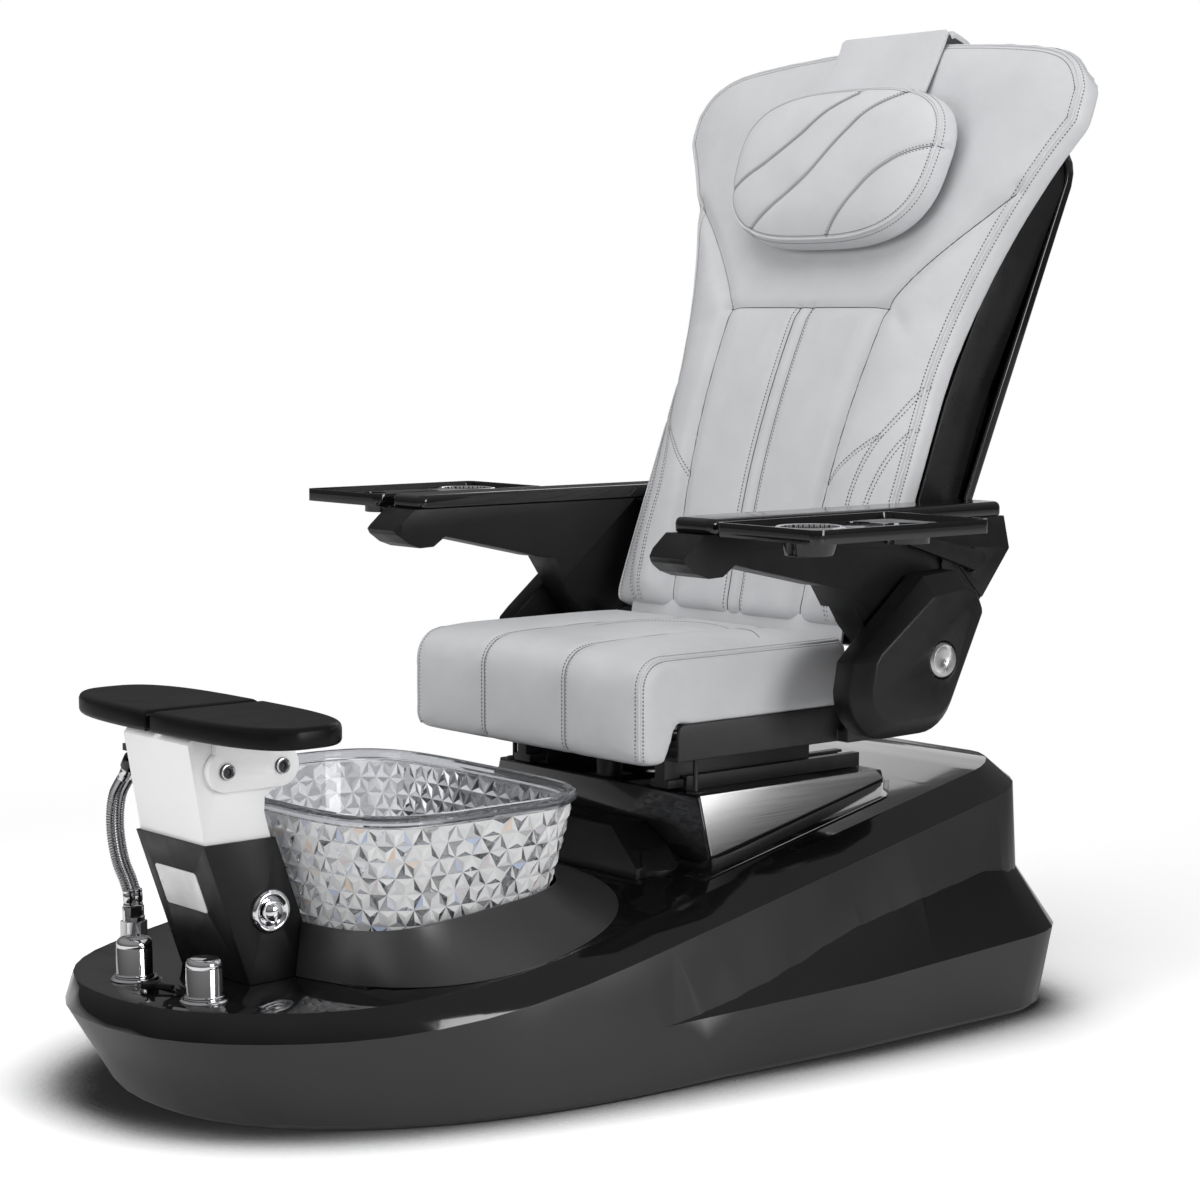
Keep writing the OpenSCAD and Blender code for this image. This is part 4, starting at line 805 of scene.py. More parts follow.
def near_lines(points, lines):
    """Distance in millimetres from each point to the nearest of the lines."""
    rows = np.vstack([even_path(line, 2 * MM) for line in lines])
    tree = KDTree(len(rows))
    for index, row in enumerate(rows):
        tree.insert(row[:3], index)
    tree.balance()
    return np.array([tree.find(point)[2] for point in points]) / MM


def surface(mesh):
    """Search tree of a mesh, for laying lines on it."""
    faces = [list(face.vertices) for face in mesh.polygons]
    return BVHTree.FromPolygons(vertex_rows(mesh).tolist(), faces)


def laid(tree, line, spacing, shift=0.0):
    """Lays a line of (place, outward way) rows on a skin, shifted sideways."""
    rows = even_path(line, spacing * MM)
    places, ways = rows[:, :3], rows[:, 3:]
    tangents = np.gradient(places, axis=0)
    sides = np.cross(tangents, ways)
    sides /= np.linalg.norm(sides, axis=1)[:, None]
    found = []
    for place, way in zip(places + sides * shift * MM, ways):
        way = Vector(way).normalized()
        hit = tree.ray_cast(Vector(place) + way * RAY_START, -way, RAY_LENGTH)[0]
        if hit:
            found.append((*hit, *way))
    return np.array(found)


def creased(mesh, lines, depth, width):
    """Draws the skin in along its seams."""
    tree = surface(mesh)
    seams = [laid(tree, line, 3) for line in lines]
    points = vertex_rows(mesh)
    sink = depth * MM * np.exp(-((near_lines(points, seams) / width) ** 2))
    points -= vertex_rows(mesh, "normal") * sink[:, None]
    mesh.vertices.foreach_set("co", points.ravel())
    return mesh


def copies(name, source, matrices):
    """One mesh with a copy of the source under each matrix."""
    verts = np.array([[*v.co, 1] for v in source.verts])
    faces = np.array([[v.index for v in face.verts] for face in source.faces])
    placed = np.vstack([verts @ np.array(matrix.transposed()) for matrix in matrices])
    shifts = np.arange(len(matrices))[:, None, None] * len(verts)
    placed_faces = (faces[None] + shifts).reshape(-1, faces.shape[1])
    mesh = bpy.data.meshes.new(name)
    mesh.from_pydata(placed[:, :3].tolist(), [], placed_faces.tolist())
    return mesh


def sew(name, made, rows, seams=(), pipes=(), pipe_r=2.0):
    """Stitches, piping, and dark tubes sunk along the seams as painted shade, laid on a cushion's
    finished skin.
    """
    body, slot = made["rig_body"], made["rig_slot"]
    tree = surface(made.data)
    wide, high = STITCH_HALF
    spots = []
    for line, shift in rows:
        path = laid(tree, line, sizes().stitch_pitch / MM, shift)
        for a, b in zip(path, path[1:]):
            along = Vector(b[:3] - a[:3])
            if along.length > 2 * sizes().stitch_pitch:
                continue
            out = Vector(a[3:])
            out = (out - along * out.dot(along) / along.length_squared).normalized()
            turn = Matrix((along.normalized(), out.cross(along).normalized(), out))
            size = Matrix.Diagonal((sizes().stitch / 2, wide * MM, high * MM, 1))
            middle = Vector(a[:3] + b[:3]) / 2
            spots.append(Matrix.Translation(middle) @ turn.transposed().to_4x4() @ size)
    if spots:
        bm = bmesh.new()
        bmesh.ops.create_icosphere(bm, subdivisions=1, radius=1)
        bm.verts.index_update()
        mesh = copies(f"{name}_stitches", bm, spots)
        bm.free()
        from_mesh(f"{name}_stitches", mesh, "thread", body, slot)
    # The seam tubes are dark lines sunk in the seams: painted shade.
    for label, lines, finish, radius, lift in (
        ("seams", seams, "seam", 0.75, -0.2),
        ("piping", pipes, "leather", pipe_r, 0.3),
    ):
        if not len(lines):
            continue
        bm = bmesh.new()
        for line in lines:
            path = laid(tree, line, 3)
            if len(path) > 2:
                places = path[:, :3] + path[:, 3:] * lift * MM
                tube(bm, places, [radius * MM] * len(places), 8)
        piece(f"{name}_{label}", bm, finish, body, slot)


def mirrored(lines):
    """Each line and its mirror image across the chair."""
    flip = np.array([-1, 1, 1, -1, 1, 1])
    return [each for line in lines for each in (line, np.asarray(line) * flip)]


def seat_line(x, way_x=0.0, rear=SEAT_REAR - 12):
    """Line along the seat's top at a place across it, round the front and down."""
    rows = [(rear, SEAT_TOP, 0, 1), (SEAT_FRONT + SEAT_ROUND, SEAT_TOP, 0, 1)]
    for angle in np.radians(np.arange(10, 90, 10)):
        y = SEAT_FRONT + SEAT_ROUND * (1 - math.sin(angle))
        z = SEAT_TOP - SEAT_ROUND * (1 - math.cos(angle))
        rows.append((y, z, -math.sin(angle), math.cos(angle)))
    rows.append((SEAT_FRONT, SEAT_TOP - SEAT_ROUND, -1, 0))
    rows.append((SEAT_FRONT, SEAT_LIP + 8, -1, 0))
    return np.array(
        [[x * MM, y * MM, z * MM, way_x, way_y, way_z] for y, z, way_y, way_z in rows]
    )


SEAT_FRAME_TOP = 452
SEAT_FRAME_FRONT = 30
SEAT_CURVE = [
    (-31, 138), (-38, 189), (-35, 233), (-5, 269), (25, 289), (76, 290), (140, 269), (206, 231)
]


def make_seat():
    """Seat cushion: two sewn seams, piped sides and a curve stitched in its top."""
    side_x = SEAT_HALF_W - 6
    seams = mirrored([seat_line(SEAM_X)])
    edges = mirrored([seat_line(side_x, 0.8)])

    def hold(points):
        x, y, z = (points / MM).T
        inside_frame = (z < SEAT_FRAME_TOP) & (y > SEAT_FRAME_FRONT)
        held = (near_lines(points, seams) < SEAM_HOLD) | inside_frame
        held |= (z < SEAT_LIP + 8) | (y > SEAT_REAR - 10)
        return np.maximum(held * 1.0, (abs(x) > side_x) * 0.9)

    def shape(points):
        """Draws the low sides down onto the frame and fills the rear edge up."""
        x, y, z = (points / MM).T
        drop = ramp(abs(x), 215, 243) * ramp(z, 475, 455) * ramp(y, 45, 70)
        fill = ramp(y, SEAT_REAR - 26, SEAT_REAR - 4) * ramp(z, 490, 520)
        return np.stack([0 * x, 0 * x, (fill * 9 - drop * 7) * MM], axis=1)

    mesh = stuffed("seat_skin", cad_mesh("seat_cushion"), 6, shape, hold, 10)
    mesh = creased(mesh, seams, 2.2, 9)
    mesh = creased(mesh, seams, 1.2, 3)
    made = from_mesh(
        "seat_cushion_soft", mesh, "leather", "carriage", "grey_leather", ["seat_cushion"]
    )
    top = [(x * MM, y * MM, SEAT_TOP * MM, 0, 0, 1) for x, y in SEAT_CURVE]
    rows = [(line, shift) for line in seams for shift in (-4.5, 4.5)]
    rows += [(line, shift) for shift in (5.5, -5.5) for line in edges]
    sew("seat", made, [*rows, (smooth_path(top, 5 * MM), 0)], seams, edges, 1.8)


def back_line(points, way=(0, -1, 0), depth=0.0):
    """Line on the back from (across, up the slope) points."""
    out = back_way(*way)
    return np.array([[*on_back(x, depth, u), *out] for x, u in points])


BOLSTER_RISE = 15
PANEL_RISE = 5
CHANNEL_RISE = 2
PILLOW_REST = (215, 135)
STRAP_REST = 125
STRAP_FOOT = 690
BACK_CURVES = [
    [
        (262, 358), (250, 332), (236, 300), (218, 262), (206, 223), (200, 175), (203, 110),
        (201, 50), (198, 4),
    ],
    [(224, 275), (188, 240), (146, 197)],
    [(262, 296), (248, 268), (236, 232), (228, 190), (226, 150), (228, 95), (224, 45), (215, 4)],
]


def make_back():
    """Back cushion: side bolsters, two channels, a bar below the headrest, curved stitching."""
    bolsters = mirrored(
        [
            back_line([(bolster_seam(u), u) for u in np.arange(6, WING_SEAM_U + 1, 8)]),
            back_line([(CHANNEL, u) for u in np.linspace(6, PANEL_SEAM_U - 1, 30)]),
        ]
    )
    bar = back_line([(x, PANEL_SEAM_U) for x in np.linspace(-166, 166, 34)])
    seams = [*bolsters, bar]
    curves = mirrored([back_line(smooth_path(points, 6)) for points in BACK_CURVES])
    outline, way = back_outline(7)
    edge = np.array(
        [
            [*on_back(x, 0, u), *back_way(0.7 * t[1], -0.8, -0.7 * t[0])]
            for (x, u), t in zip(outline, way)
        ]
    )
    edges = mirrored([edge])

    def hold(points):
        x, y, u = to_back(points).T
        held = (near_lines(points, seams) < SEAM_HOLD) | (y > 5)
        wide, high = PILLOW_REST
        under_pillow = (abs(x - PILLOW_X) / wide) ** 3 + (abs(u - PILLOW_U) / high) ** 3 < 1
        under_strap = (u > STRAP_FOOT) & (abs(x - sum(STRAP_X) / 2) < STRAP_REST)
        return (held | under_pillow | under_strap) * 1.0

    def shape(points):
        """Raises the bolsters and the panels between the seams on the front face."""
        x, y, u = to_back(points).T
        wide = np.array([back_half_width(each) for each in u])
        seam = np.array([bolster_seam(each) for each in u])
        side = np.clip((abs(x) - seam) / (wide - 16 - seam), 0, 1)
        length = ramp(u, -20, 40) * ramp(u, WING_SEAM_U - 20, 470)
        bolster = BOLSTER_RISE * ramp(side, 0, 0.4) * ramp(side, 1, 0.5) * length
        middle = np.clip((abs(x) - CHANNEL) / (seam - CHANNEL), 0, 1)
        length = ramp(u, -20, 20) * ramp(u, PANEL_SEAM_U, PANEL_SEAM_U - 34)
        panel = PANEL_RISE * ramp(middle, 0, 0.3) * ramp(middle, 1, 0.7) * length
        channel = CHANNEL_RISE * (abs(x) < CHANNEL) * length
        rise = (bolster + panel + channel) * ramp(y, 12, 0) * MM
        return -rise[:, None] * np.array(back_way(0, 1, 0))

    mesh = stuffed("back_skin", back_form(), 6.2, shape, hold, sizes().back_swell / MM, 9)
    for lines, depth, width in (
        (bolsters[:2], sizes().seam_depth / MM, 13),
        ([bar], 4, 10),
        (bolsters[2:], 2.6, 7),
        (seams, 1.8, 3),
        (curves, 1.3, 3),
    ):
        mesh = creased(mesh, lines, depth, width)
    made = from_mesh(
        "back_cushion_soft", mesh, "leather", "back", "grey_leather", ["back_cushion"]
    )
    rows = [(line, shift) for line in curves for shift in (-2.6, 2.6)]
    rows += [(line, 6 * side) for line, side in zip(bolsters[2:], (1, -1))]
    rows += [(line, shift * side) for line, side in zip(edges, (1, -1)) for shift in (-7, 6)]
    sew("back", made, rows, seams, edges, 2.0)


PILLOW_HALF = (208, 124)
PILLOW_POWER = 2.9
PILLOW_REAR = -19
PILLOW_HOLD = -60
PILLOW_RIM = -64
PILLOW_RINGS = [
    (-26, 0), (-7, 3), (0, 14), (-1, 30), (-5, 44), (-18, 52), (-50, 58), (-88, 62), (-114, 64)
]
STRAP_X = (-98, 118)
STRAP_SECTION = [
    (2, 899), (4, 904.5), (8, 907), (24, 907.6), (42, 906.5), (50, 902.5), (53.5, 895), (54, 860),
    (53, 790), (48, 790), (48, 893), (45, 898.5), (40, 901.5), (24, 902.2), (10, 901.8), (6, 898),
]
FLAP_SECTION = [
    (-3.6, 901), (-6, 903.4), (-8.6, 901), (-8.8, 885), (-13, 840), (-21.5, 790), (-23.5, 770),
    (-23, 640), (-18.6, 640), (-18.2, 780), (-9.5, 838), (-4, 880),
]
VALANCE_SECTION = [(5, 12), (6, -2), (13, -34), (17, -34), (11, -2), (10, 12)]
VALANCE_X = (-224, 224)
PILLOW_LINES = [
    [(-188, 634), (-148, 654), (-99, 680), (-55, 714), (-12, 753), (36, 782)],
    [(-132, 562), (-98, 587), (-48, 622), (-5, 658), (37, 712), (77, 751), (137, 781)],
    [(45, 557), (70, 592), (113, 641), (160, 672), (221, 694)],
]


def pillow_ring(grow, phase=0.5):
    """Outline of the pillow, grown all round; it is a little wider at its top."""
    wide, high = PILLOW_HALF
    ring = superellipse(wide + grow, high + grow, PILLOW_POWER, 96, phase)
    ring[:, 0] *= 1 + 0.06 * ring[:, 1] / high
    return ring


def make_pillow():
    """Headrest pillow with three sewn lines and a piped rim."""
    wide, high = PILLOW_HALF
    lines = [
        back_line(smooth_path(points, 6), depth=PILLOW_FACE) for points in PILLOW_LINES
    ]
    ring = pillow_ring(-5, 0)
    rim = np.array(
        [
            [
                *on_back(PILLOW_X + x, PILLOW_RIM, PILLOW_U + u),
                *back_way(x / wide, -1.1, u / high),
            ]
            for x, u in [*ring, ring[0]]
        ]
    )

    def hold(points):
        behind = to_back(points)[:, 1] > PILLOW_HOLD
        return ((near_lines(points, [*lines, rim]) < 4) | behind) * 1.0

    bm = bmesh.new()
    rings = [
        [on_back(PILLOW_X + x, PILLOW_REAR - depth, PILLOW_U + u) for x, u in pillow_ring(grow)]
        for grow, depth in PILLOW_RINGS
    ]
    solid(bm, rings)
    mesh = stuffed("pillow_skin", bm, 4.5, None, hold, 8)
    mesh = creased(mesh, lines, 2.2, 6)
    made = from_mesh(
        "headrest_pillow_soft", mesh, "leather", "headrest", "grey_leather", ["headrest_pillow"]
    )
    rows = [(line, shift) for line in lines for shift in (-3, 3)] + [(rim, 7), (rim, -5)]
    sew("pillow", made, rows, lines, [rim], 2.0)


def make_foot_pads():
    """Firm moulded pads with well-rounded edges."""
    for node in ("left_foot_pad", "right_foot_pad"):
        made = softened(node, "vinyl", 4.5, 25, 5)


def make_straps():
    """Leather sheets over the back's top edge, down to the pillow, and behind the seat."""
    strip("headrest_strap_soft", STRAP_SECTION, *STRAP_X, "back", ["headrest_strap"])
    flap = strip("pillow_flap", FLAP_SECTION, *STRAP_X, "headrest", width=2.1)
    edges = [back_line([(x, 899), (x, 800)]) for x in STRAP_X]
    sew("flap", flap, [(edges[0], 7), (edges[1], -7)])
    strip("back_valance", VALANCE_SECTION, *VALANCE_X, "back")


# ---- Glass bowl and hoses ----

STAR_ROWS = 10
STAR_COLUMNS = 62
STAR_RISE = 2.6
CLEAR_CUT = 0.3
# The lip is given a paler, less clear share of the glass: painted highlight.
LIP_PAINTED_SHEEN = 0.37
GOLDEN = 0.6180339
# Way of the painted light that shades the glass facets; no lamp shines from it.
PAINTED_LIGHT_WAY = Vector((0.3, -0.35, 0.89))
BOWL_LOOP = (228, 165)
BOWL_LOOP_POWER = 3.7
BOWL_FOOT_FORM = (196, 138, 3.2)
BOWL_TOP_FORM = (256, 190, 4.2)
BOWL_FLARE = 0.62
LIP_ROLL = (6.5, 8)
LIP_SET_IN = 3.5


def bowl_outline(z, inset, count, phase=0.5):
    """Ring of the bowl's wall at a height, drawn in by an inset, in metres."""
    t = max(0, (z - BOWL_FLOOR) / (BOWL_TOP - BOWL_FLOOR)) ** BOWL_FLARE
    a, b, n = (mix(low, high, t) for low, high in zip(BOWL_FOOT_FORM, BOWL_TOP_FORM))
    ring = even_ring(*BOWL_LOOP, BOWL_LOOP_POWER, count, phase)
    ways = np.sign(ring) * abs(ring / BOWL_LOOP) ** (BOWL_LOOP_POWER / 2)
    ways /= np.linalg.norm(ways, axis=1)[:, None]
    ring = np.sign(ways) * abs(ways) ** (2 / n) * (a - inset, b - inset)
    return [Vector((x, y + BOWL_Y, z)) * MM for x, y in ring]


def make_bowl():
    """Glass with rows of shallow pyramids outside, smooth inside, under a rolled lip."""
    columns = sizes().glass_columns
    bm = bmesh.new()
    heights = np.linspace(BOWL_FLOOR + 7, BOWL_TOP - BOWL_LIP - 2, STAR_ROWS)
    rows = [bowl_outline(z, STAR_RISE, columns, 0.5 * (row % 2)) for row, z in enumerate(heights)]
    stars = skin(bm, rows)
    thirds = bmesh.ops.triangulate(bm, faces=bm.faces, quad_method="SHORT_EDGE")
    bmesh.ops.recalc_face_normals(bm, faces=bm.faces)
    bmesh.ops.poke(bm, faces=thirds["faces"], offset=STAR_RISE * MM)
    cut = bm.faces.layers.float.new("cut")
    for index, face in enumerate(bm.faces):
        face.smooth = False
        face.normal_update()
        # Painted light: each facet's shade is part random painted sparkle and part painted shading
        # by how it faces the painted light.
        lit = 0.5 + 0.5 * face.normal.dot(PAINTED_LIGHT_WAY)
        face[cut] = 0.6 * (index * GOLDEN % 1) + 0.4 * lit

    count = columns * 2
    floor_z = BOWL_FLOOR + GLASS_T
    reach, high = LIP_ROLL
    lip = []
    for angle in np.radians(np.arange(-60, 241, 30)):
        out = math.cos(angle) * reach - LIP_SET_IN
        lip.append(bowl_outline(BOWL_TOP - high + math.sin(angle) * high, -out, count))
    levels = np.linspace(BOWL_TOP - BOWL_LIP, floor_z + 6, 14)
    inner = [bowl_outline(z, GLASS_T, count) for z in levels]
    inner.append(bowl_outline(floor_z + 1.5, GLASS_T + 7, count))
    inner.append(bowl_outline(floor_z, GLASS_T + 18, count))
    circle = superellipse(DRAIN_R, DRAIN_R, 2, count)
    hole = [[Vector((x, y + BOWL_Y, z)) * MM for x, y in circle] for z in (floor_z, BOWL_FLOOR)]
    foot = [bowl_outline(BOWL_FLOOR, 10, count), bowl_outline(BOWL_FLOOR + 2, 4, count)]
    loops = skin(bm, [*lip, *inner, *hole, *foot])
    for rim, end in ((stars[0], loops[-1]), (stars[-1], loops[0])):
        bridged = bmesh.ops.bridge_loops(bm, edges=rim + end)
        for face in bridged["faces"]:
            face.smooth = True
    flat = [not face.smooth for face in bm.faces]
    # Smooth faces stay clear; those on the lip get the painted highlight.
    for face in bm.faces:
        if face.smooth:
            on_lip = face.calc_center_median().z > (BOWL_TOP - BOWL_LIP) * MM
            face[cut] = LIP_PAINTED_SHEEN if on_lip else CLEAR_CUT
    made = piece("glass_bowl_cut", bm, "glass", "base", "clear_glass", ["glass_bowl"])
    made.data.polygons.foreach_set("use_smooth", [not each for each in flat])
    round_edges(made, 0.7, 9, 2)


HOSE_ROUTE = [
    (-169, 214), (-169.5, 226), (-181, 246), (-196, 264), (-206, 286), (-211, 310),
    (-210, 334), (-203, 356), (-190, 372), (-172.5, 388.7), (-166, 397),
]
HOSE_Y = -530
HOSE_APART = 6.85
HOSE_R = 5.6
RIB = 0.6
RIB_STEP = 0.9
COLLAR = [
    (5.2, 0.2), (6.9, 0.2), (6.9, 3), (6.4, 3.6), (6.4, 5), (6.9, 5.6), (6.9, 15.5), (6.4, 16.4),
    (6.4, 17.4), (6.8, 18), (6.8, 20.6), (6.3, 21.2), (5.2, 21.2), (5.2, 0.2),
]


def make_hoses():
    """Two wound steel hoses side by side, with their windings as fine ribs."""
    bm = bmesh.new()
    for side in (-1, 1):
        route = [(x * MM, (HOSE_Y + side * HOSE_APART) * MM, z * MM) for x, z in HOSE_ROUTE]
        path = smooth_path(route, RIB_STEP * MM)
        radii = (HOSE_R + RIB * np.sin(np.arange(len(path)) * math.tau / 4)) * MM
        tube(bm, path, radii, 18)
    piece("spray_hoses_wound", bm, "braid", "base", "brushed_steel", ["spray_hoses"])
    bm = bmesh.new()
    for side in (-1, 1):
        for index, way in ((0, 1), (-1, -1)):
            x, z = HOSE_ROUTE[index]
            nx, nz = HOSE_ROUTE[index + way]
            start = Vector((x, HOSE_Y + side * HOSE_APART, z)) * MM
            along = Vector((nx - x, 0, nz - z))
            turn = along.to_track_quat("Z", "Y").to_matrix().to_4x4()
            lathe(bm, COLLAR, Matrix.Translation(start) @ turn, 32)
    piece("hose_collars", bm, "chrome", "base", "chrome", sharp=40)


# ---- Rigid parts ----

ROUNDED = {
    "jet_cover": ("plastic", 2, 30),
    "pedestal_box": ("lacquer", 3, 30),
    "pedestal_skirt": ("lacquer", 1.6, 20),
    "steel_trims": ("brushed", 1, 30),
    "column_housing": ("plastic", 2, 30),
    "touch_panel": ("panel", 1.2, 30),
    "column_upper": ("white", 2.5, 30),
    "pad_plates": ("white", 1.2, 30),
    "plate_bolts": ("dark steel", 0.8, 30),
    "tap_flanges": ("chrome", 0.8, 30),
    "drain_lever": ("plastic", 0.8, 30),
    "hose_nut": ("chrome", 0.8, 30),
    "sprayer_head": ("lacquer", 1, 30),
    "sprayer_dock": ("plastic", 1, 30),
    "seat_frame": ("coat", 2, 30),
    "fixed_rails": ("coat", 0.6, 30),
    "moving_rails": ("coat", 0.6, 30),
    "left_pivot_cover": ("plastic", 2, 16),
    "right_pivot_cover": ("plastic", 2, 16),
    "pivot_caps": ("turned", 0.8, 30),
    "left_arm": ("plastic", 2.5, 16),
    "right_arm": ("plastic", 2.5, 16),
    "left_arm_pad": ("lacquer", 5, 40),
    "right_arm_pad": ("lacquer", 5, 40),
    "left_tray": ("lacquer", 1.6, 30),
    "right_tray": ("lacquer", 1.6, 30),
    "left_tray_bracket": ("plastic", 1.2, 30),
    "right_tray_bracket": ("plastic", 1.2, 30),
    "back_body": ("body", 3, 16),
    "back_cover": ("lacquer", 6, 12),
}

PLAIN = {
    "base_pan": "zinc",
    "chassis_frame": "coat",
    "drain_flange": "chrome",
    "drain_pipe": "pipe",
    "jet_pump": "pipe",
    "slide_motor": "coat",
    "valve_bodies": "brass",
    "drain_stopper": "chrome",
    "slide_rod": "bright",
    "pivot_shafts": "bright",
    "recline_motor": "coat",
    "recline_rod": "bright",
    "back_frame": "coat",
    "massage_carriage": "pipe",
}


DECK_EDGE = 36
PLINTH_FRONT = -270


def make_shell():
    """The base: gloss where it faces up, satin down its walls."""
    made = softened("base_shell", "gloss", 3, 24)
    made.data.materials.append(material("shell"))
    for face in made.data.polygons:
        _, y, z = face.center / MM
        deck = z > deck_height(y) - DECK_EDGE
        plinth = face.normal.z > 0.3 and y > PLINTH_FRONT
        face.material_index = 0 if deck or plinth else 1


CUP_RIM_Z = 0.706


def make_cups():
    """Cup wells: a chrome rim over a black cup."""
    for node in ("left_cup", "right_cup"):
        made = softened(node, "chrome", 1.2)
        made.data.materials.append(material("lacquer"))
        for face in made.data.polygons:
            face.material_index = 1 if face.center.z < CUP_RIM_Z else 0


BOLT_SPOTS = ((-546, 423), (-466, 423))
BOLT_FACE = 90.8
BOLT_RIM = [(7.4, 0), (9.9, -0.4), (9.6, 0.5), (8, 0.8), (7.4, 0)]


def make_bolt_rings():
    """Bright rim round each socket bolt of the foot rest."""
    bm = bmesh.new()
    for side in (-1, 1):
        turn = Matrix.Rotation(side * math.pi / 2, 4, "Y")
        for y, z in BOLT_SPOTS:
            place = Matrix.Translation(Vector((side * BOLT_FACE, y, z)) * MM) @ turn
            lathe(bm, BOLT_RIM, place, 32)
    piece("bolt_rims", bm, "bright", "foot_rest", "black_steel", sharp=50)


RING_FOOT = (312, 235, -215)
RING_TOP = 240
RING_WALL = 5
RING_GAP = 3
RING_RISE = 12
RING_SLOPE = 0.1
RING_LEVEL_Y = -250
COLUMN_CUT = 80.6


def make_bowl_ring():
    """Sloping collar round the bowl, open in front where the column stands."""
    foot_a, foot_b, foot_y = RING_FOOT

    def top_ring(z, out):
        ring = np.array([[*point] for point in bowl_outline(z, -out, 160)]) / MM
        ring[:, 2] = RING_TOP + RING_SLOPE * (ring[:, 1] - RING_LEVEL_Y)
        return ring

    def foot_ring(inset):
        flat = superellipse(foot_a - inset, foot_b - inset, 2.3, 160) + (0, foot_y)
        return np.column_stack([flat, deck_height(flat[:, 1]) + 0.5])

    bm = bmesh.new()
    chains = []
    for ring in (
        foot_ring(0),
        top_ring(RING_TOP, RING_GAP + RING_WALL),
        top_ring(RING_TOP + RING_RISE, RING_GAP),
        foot_ring(RING_RISE),
    ):
        kept = ring[(abs(ring[:, 0]) > COLUMN_CUT) | (ring[:, 1] > BOWL_Y)]
        kept[0, 0], kept[-1, 0] = COLUMN_CUT, -COLUMN_CUT
        verts = [bm.verts.new(Vector(point) * MM) for point in kept]
        chains.append((verts, [bm.edges.new(pair) for pair in zip(verts, verts[1:])]))
    for (_, low), (_, high) in zip(chains, chains[1:] + chains[:1]):
        bmesh.ops.bridge_loops(bm, edges=low + high)
    for end in (0, -1):
        bmesh.ops.contextual_create(bm, geom=[verts[end] for verts, _ in chains])
    made = piece("bowl_ring_satin", bm, "ring", "base", "satin_black", ["bowl_ring"])
    round_edges(made, 2.5, 35, 3)


TAP_PLACES = {"hot_knob": (-50, -599), "cold_knob": (103, -592)}
TAP_FOOT = 153.5
TAP_PROFILE = [
    (0, -19), (8, -19), (8, 0), (24.6, 0), (25, 0.5), (25, 2.6), (24.4, 3.2), (23.6, 3.6),
    (23, 5), (22.6, 36.6), (22.2, 37.2), (22.2, 37.8), (22.6, 38.4), (22.4, 42), (21.4, 45.4),
    (19, 47.9), (15.5, 49.2), (8, 49.8), (0, 50),
]


def make_taps():
    """Round water knobs, turned in one piece with their necks."""
    for node, (x, y) in TAP_PLACES.items():
        bm = bmesh.new()
        lathe(bm, TAP_PROFILE, Matrix.Translation(Vector((x, y, TAP_FOOT)) * MM), 64)
        piece(f"{node}_cap", bm, "chrome", BODIES[node], "chrome", [node], 40)


KNOB_PLACE = (80.1, -482, 241)
BEZEL_PROFILE = [
    (9.2, 0), (28, 0), (28, 2.6), (27, 5.2), (25.2, 7.2), (23, 7.9), (20.6, 7.4), (17.4, 4.6),
    (14.5, 2.8), (9.2, 2.4), (9.2, 0),
]
DOME_PROFILE = [
    (0, -4), (8.5, -4), (8.5, 3.5), (12.4, 3.5), (13, 4.2), (13, 9), (12, 12), (9.6, 14.4),
    (6, 16), (2.5, 16.6), (0, 16.7),
]
LEVER_HALF = (10.5, 2.4, 3)
LEVER_PLACE = (6.5, 0, 13.5)


def make_column_knob():
    """Dished bezel, and a domed knob with a short lever across it."""
    out = Matrix.Translation(Vector(KNOB_PLACE) * MM) @ Matrix.Rotation(math.pi / 2, 4, "Y")
    bm = bmesh.new()
    lathe(bm, BEZEL_PROFILE, out, 64)
    piece("knob_bezel_dish", bm, "chrome", "base", "chrome", ["knob_bezel"], 60)
    bm = bmesh.new()
    lathe(bm, DOME_PROFILE, out, 48)
    size = Matrix.Diagonal((*Vector(LEVER_HALF) * MM, 1))
    place = out @ Matrix.Translation(Vector(LEVER_PLACE) * MM)
    bmesh.ops.create_icosphere(bm, subdivisions=3, radius=1, matrix=place @ size)
    piece("column_knob_dome", bm, "chrome", "column_knob_body", "chrome", ["column_knob"], 60)


def make_mouldings():
    """Rigid parts with rounded edges."""
    for node, (finish, width, angle) in ROUNDED.items():
        softened(node, finish, width, angle)


def dress_inner_parts():
    """Inner parts keep their own meshes."""
    for node, finish in PLAIN.items():
        dress(node, finish)


# ---- Stage ----

LAMPS = [
    ("top softbox", (0.2, -0.3, 3.0), (0, 0.1, 0.5), (2.4, 2.4), 37),
    ("front softbox", (-0.3, -3.3, 1.8), (0, -0.2, 0.5), (2.0, 1.6), 44),
    ("side softbox", (3.6, 0.7, 1.5), (0, 0.2, 0.5), (1.6, 1.6), 58),
    ("rear card", (-1.45, 1.86, 1.34), (0.15, 0.5, 0.4), (1.2, 0.7), 3.3),
    ("low card", (-1.45, 2.15, 0.42), (0.2, 0.5, 0.3), (0.95, 0.7), 1.3),
]
UNMIRRORED = ("top softbox", "front softbox")
CAMERA_PLACE = (2.95184, -2.35529, 0.97395)
CAMERA_TURN = (90 - 5.7857, 0, 50.0108)
SENSOR = 36
LENS = 83.58
WHITE = (1, 1, 1, 1)
ROOM = 0.36
ROOM_MIRRORED = (0, 0.6, 0.06, 0.26)
FLOOR_SIZE = 30
FLOOR_MASK = (0.9, 2.4, 0, 1)
# Reach and tones of the painted contact shadow on the floor.
SHADOW_REACH = 0.2
SHADOW_TONES = (0.5, 0.95, 0.06, 1.4)


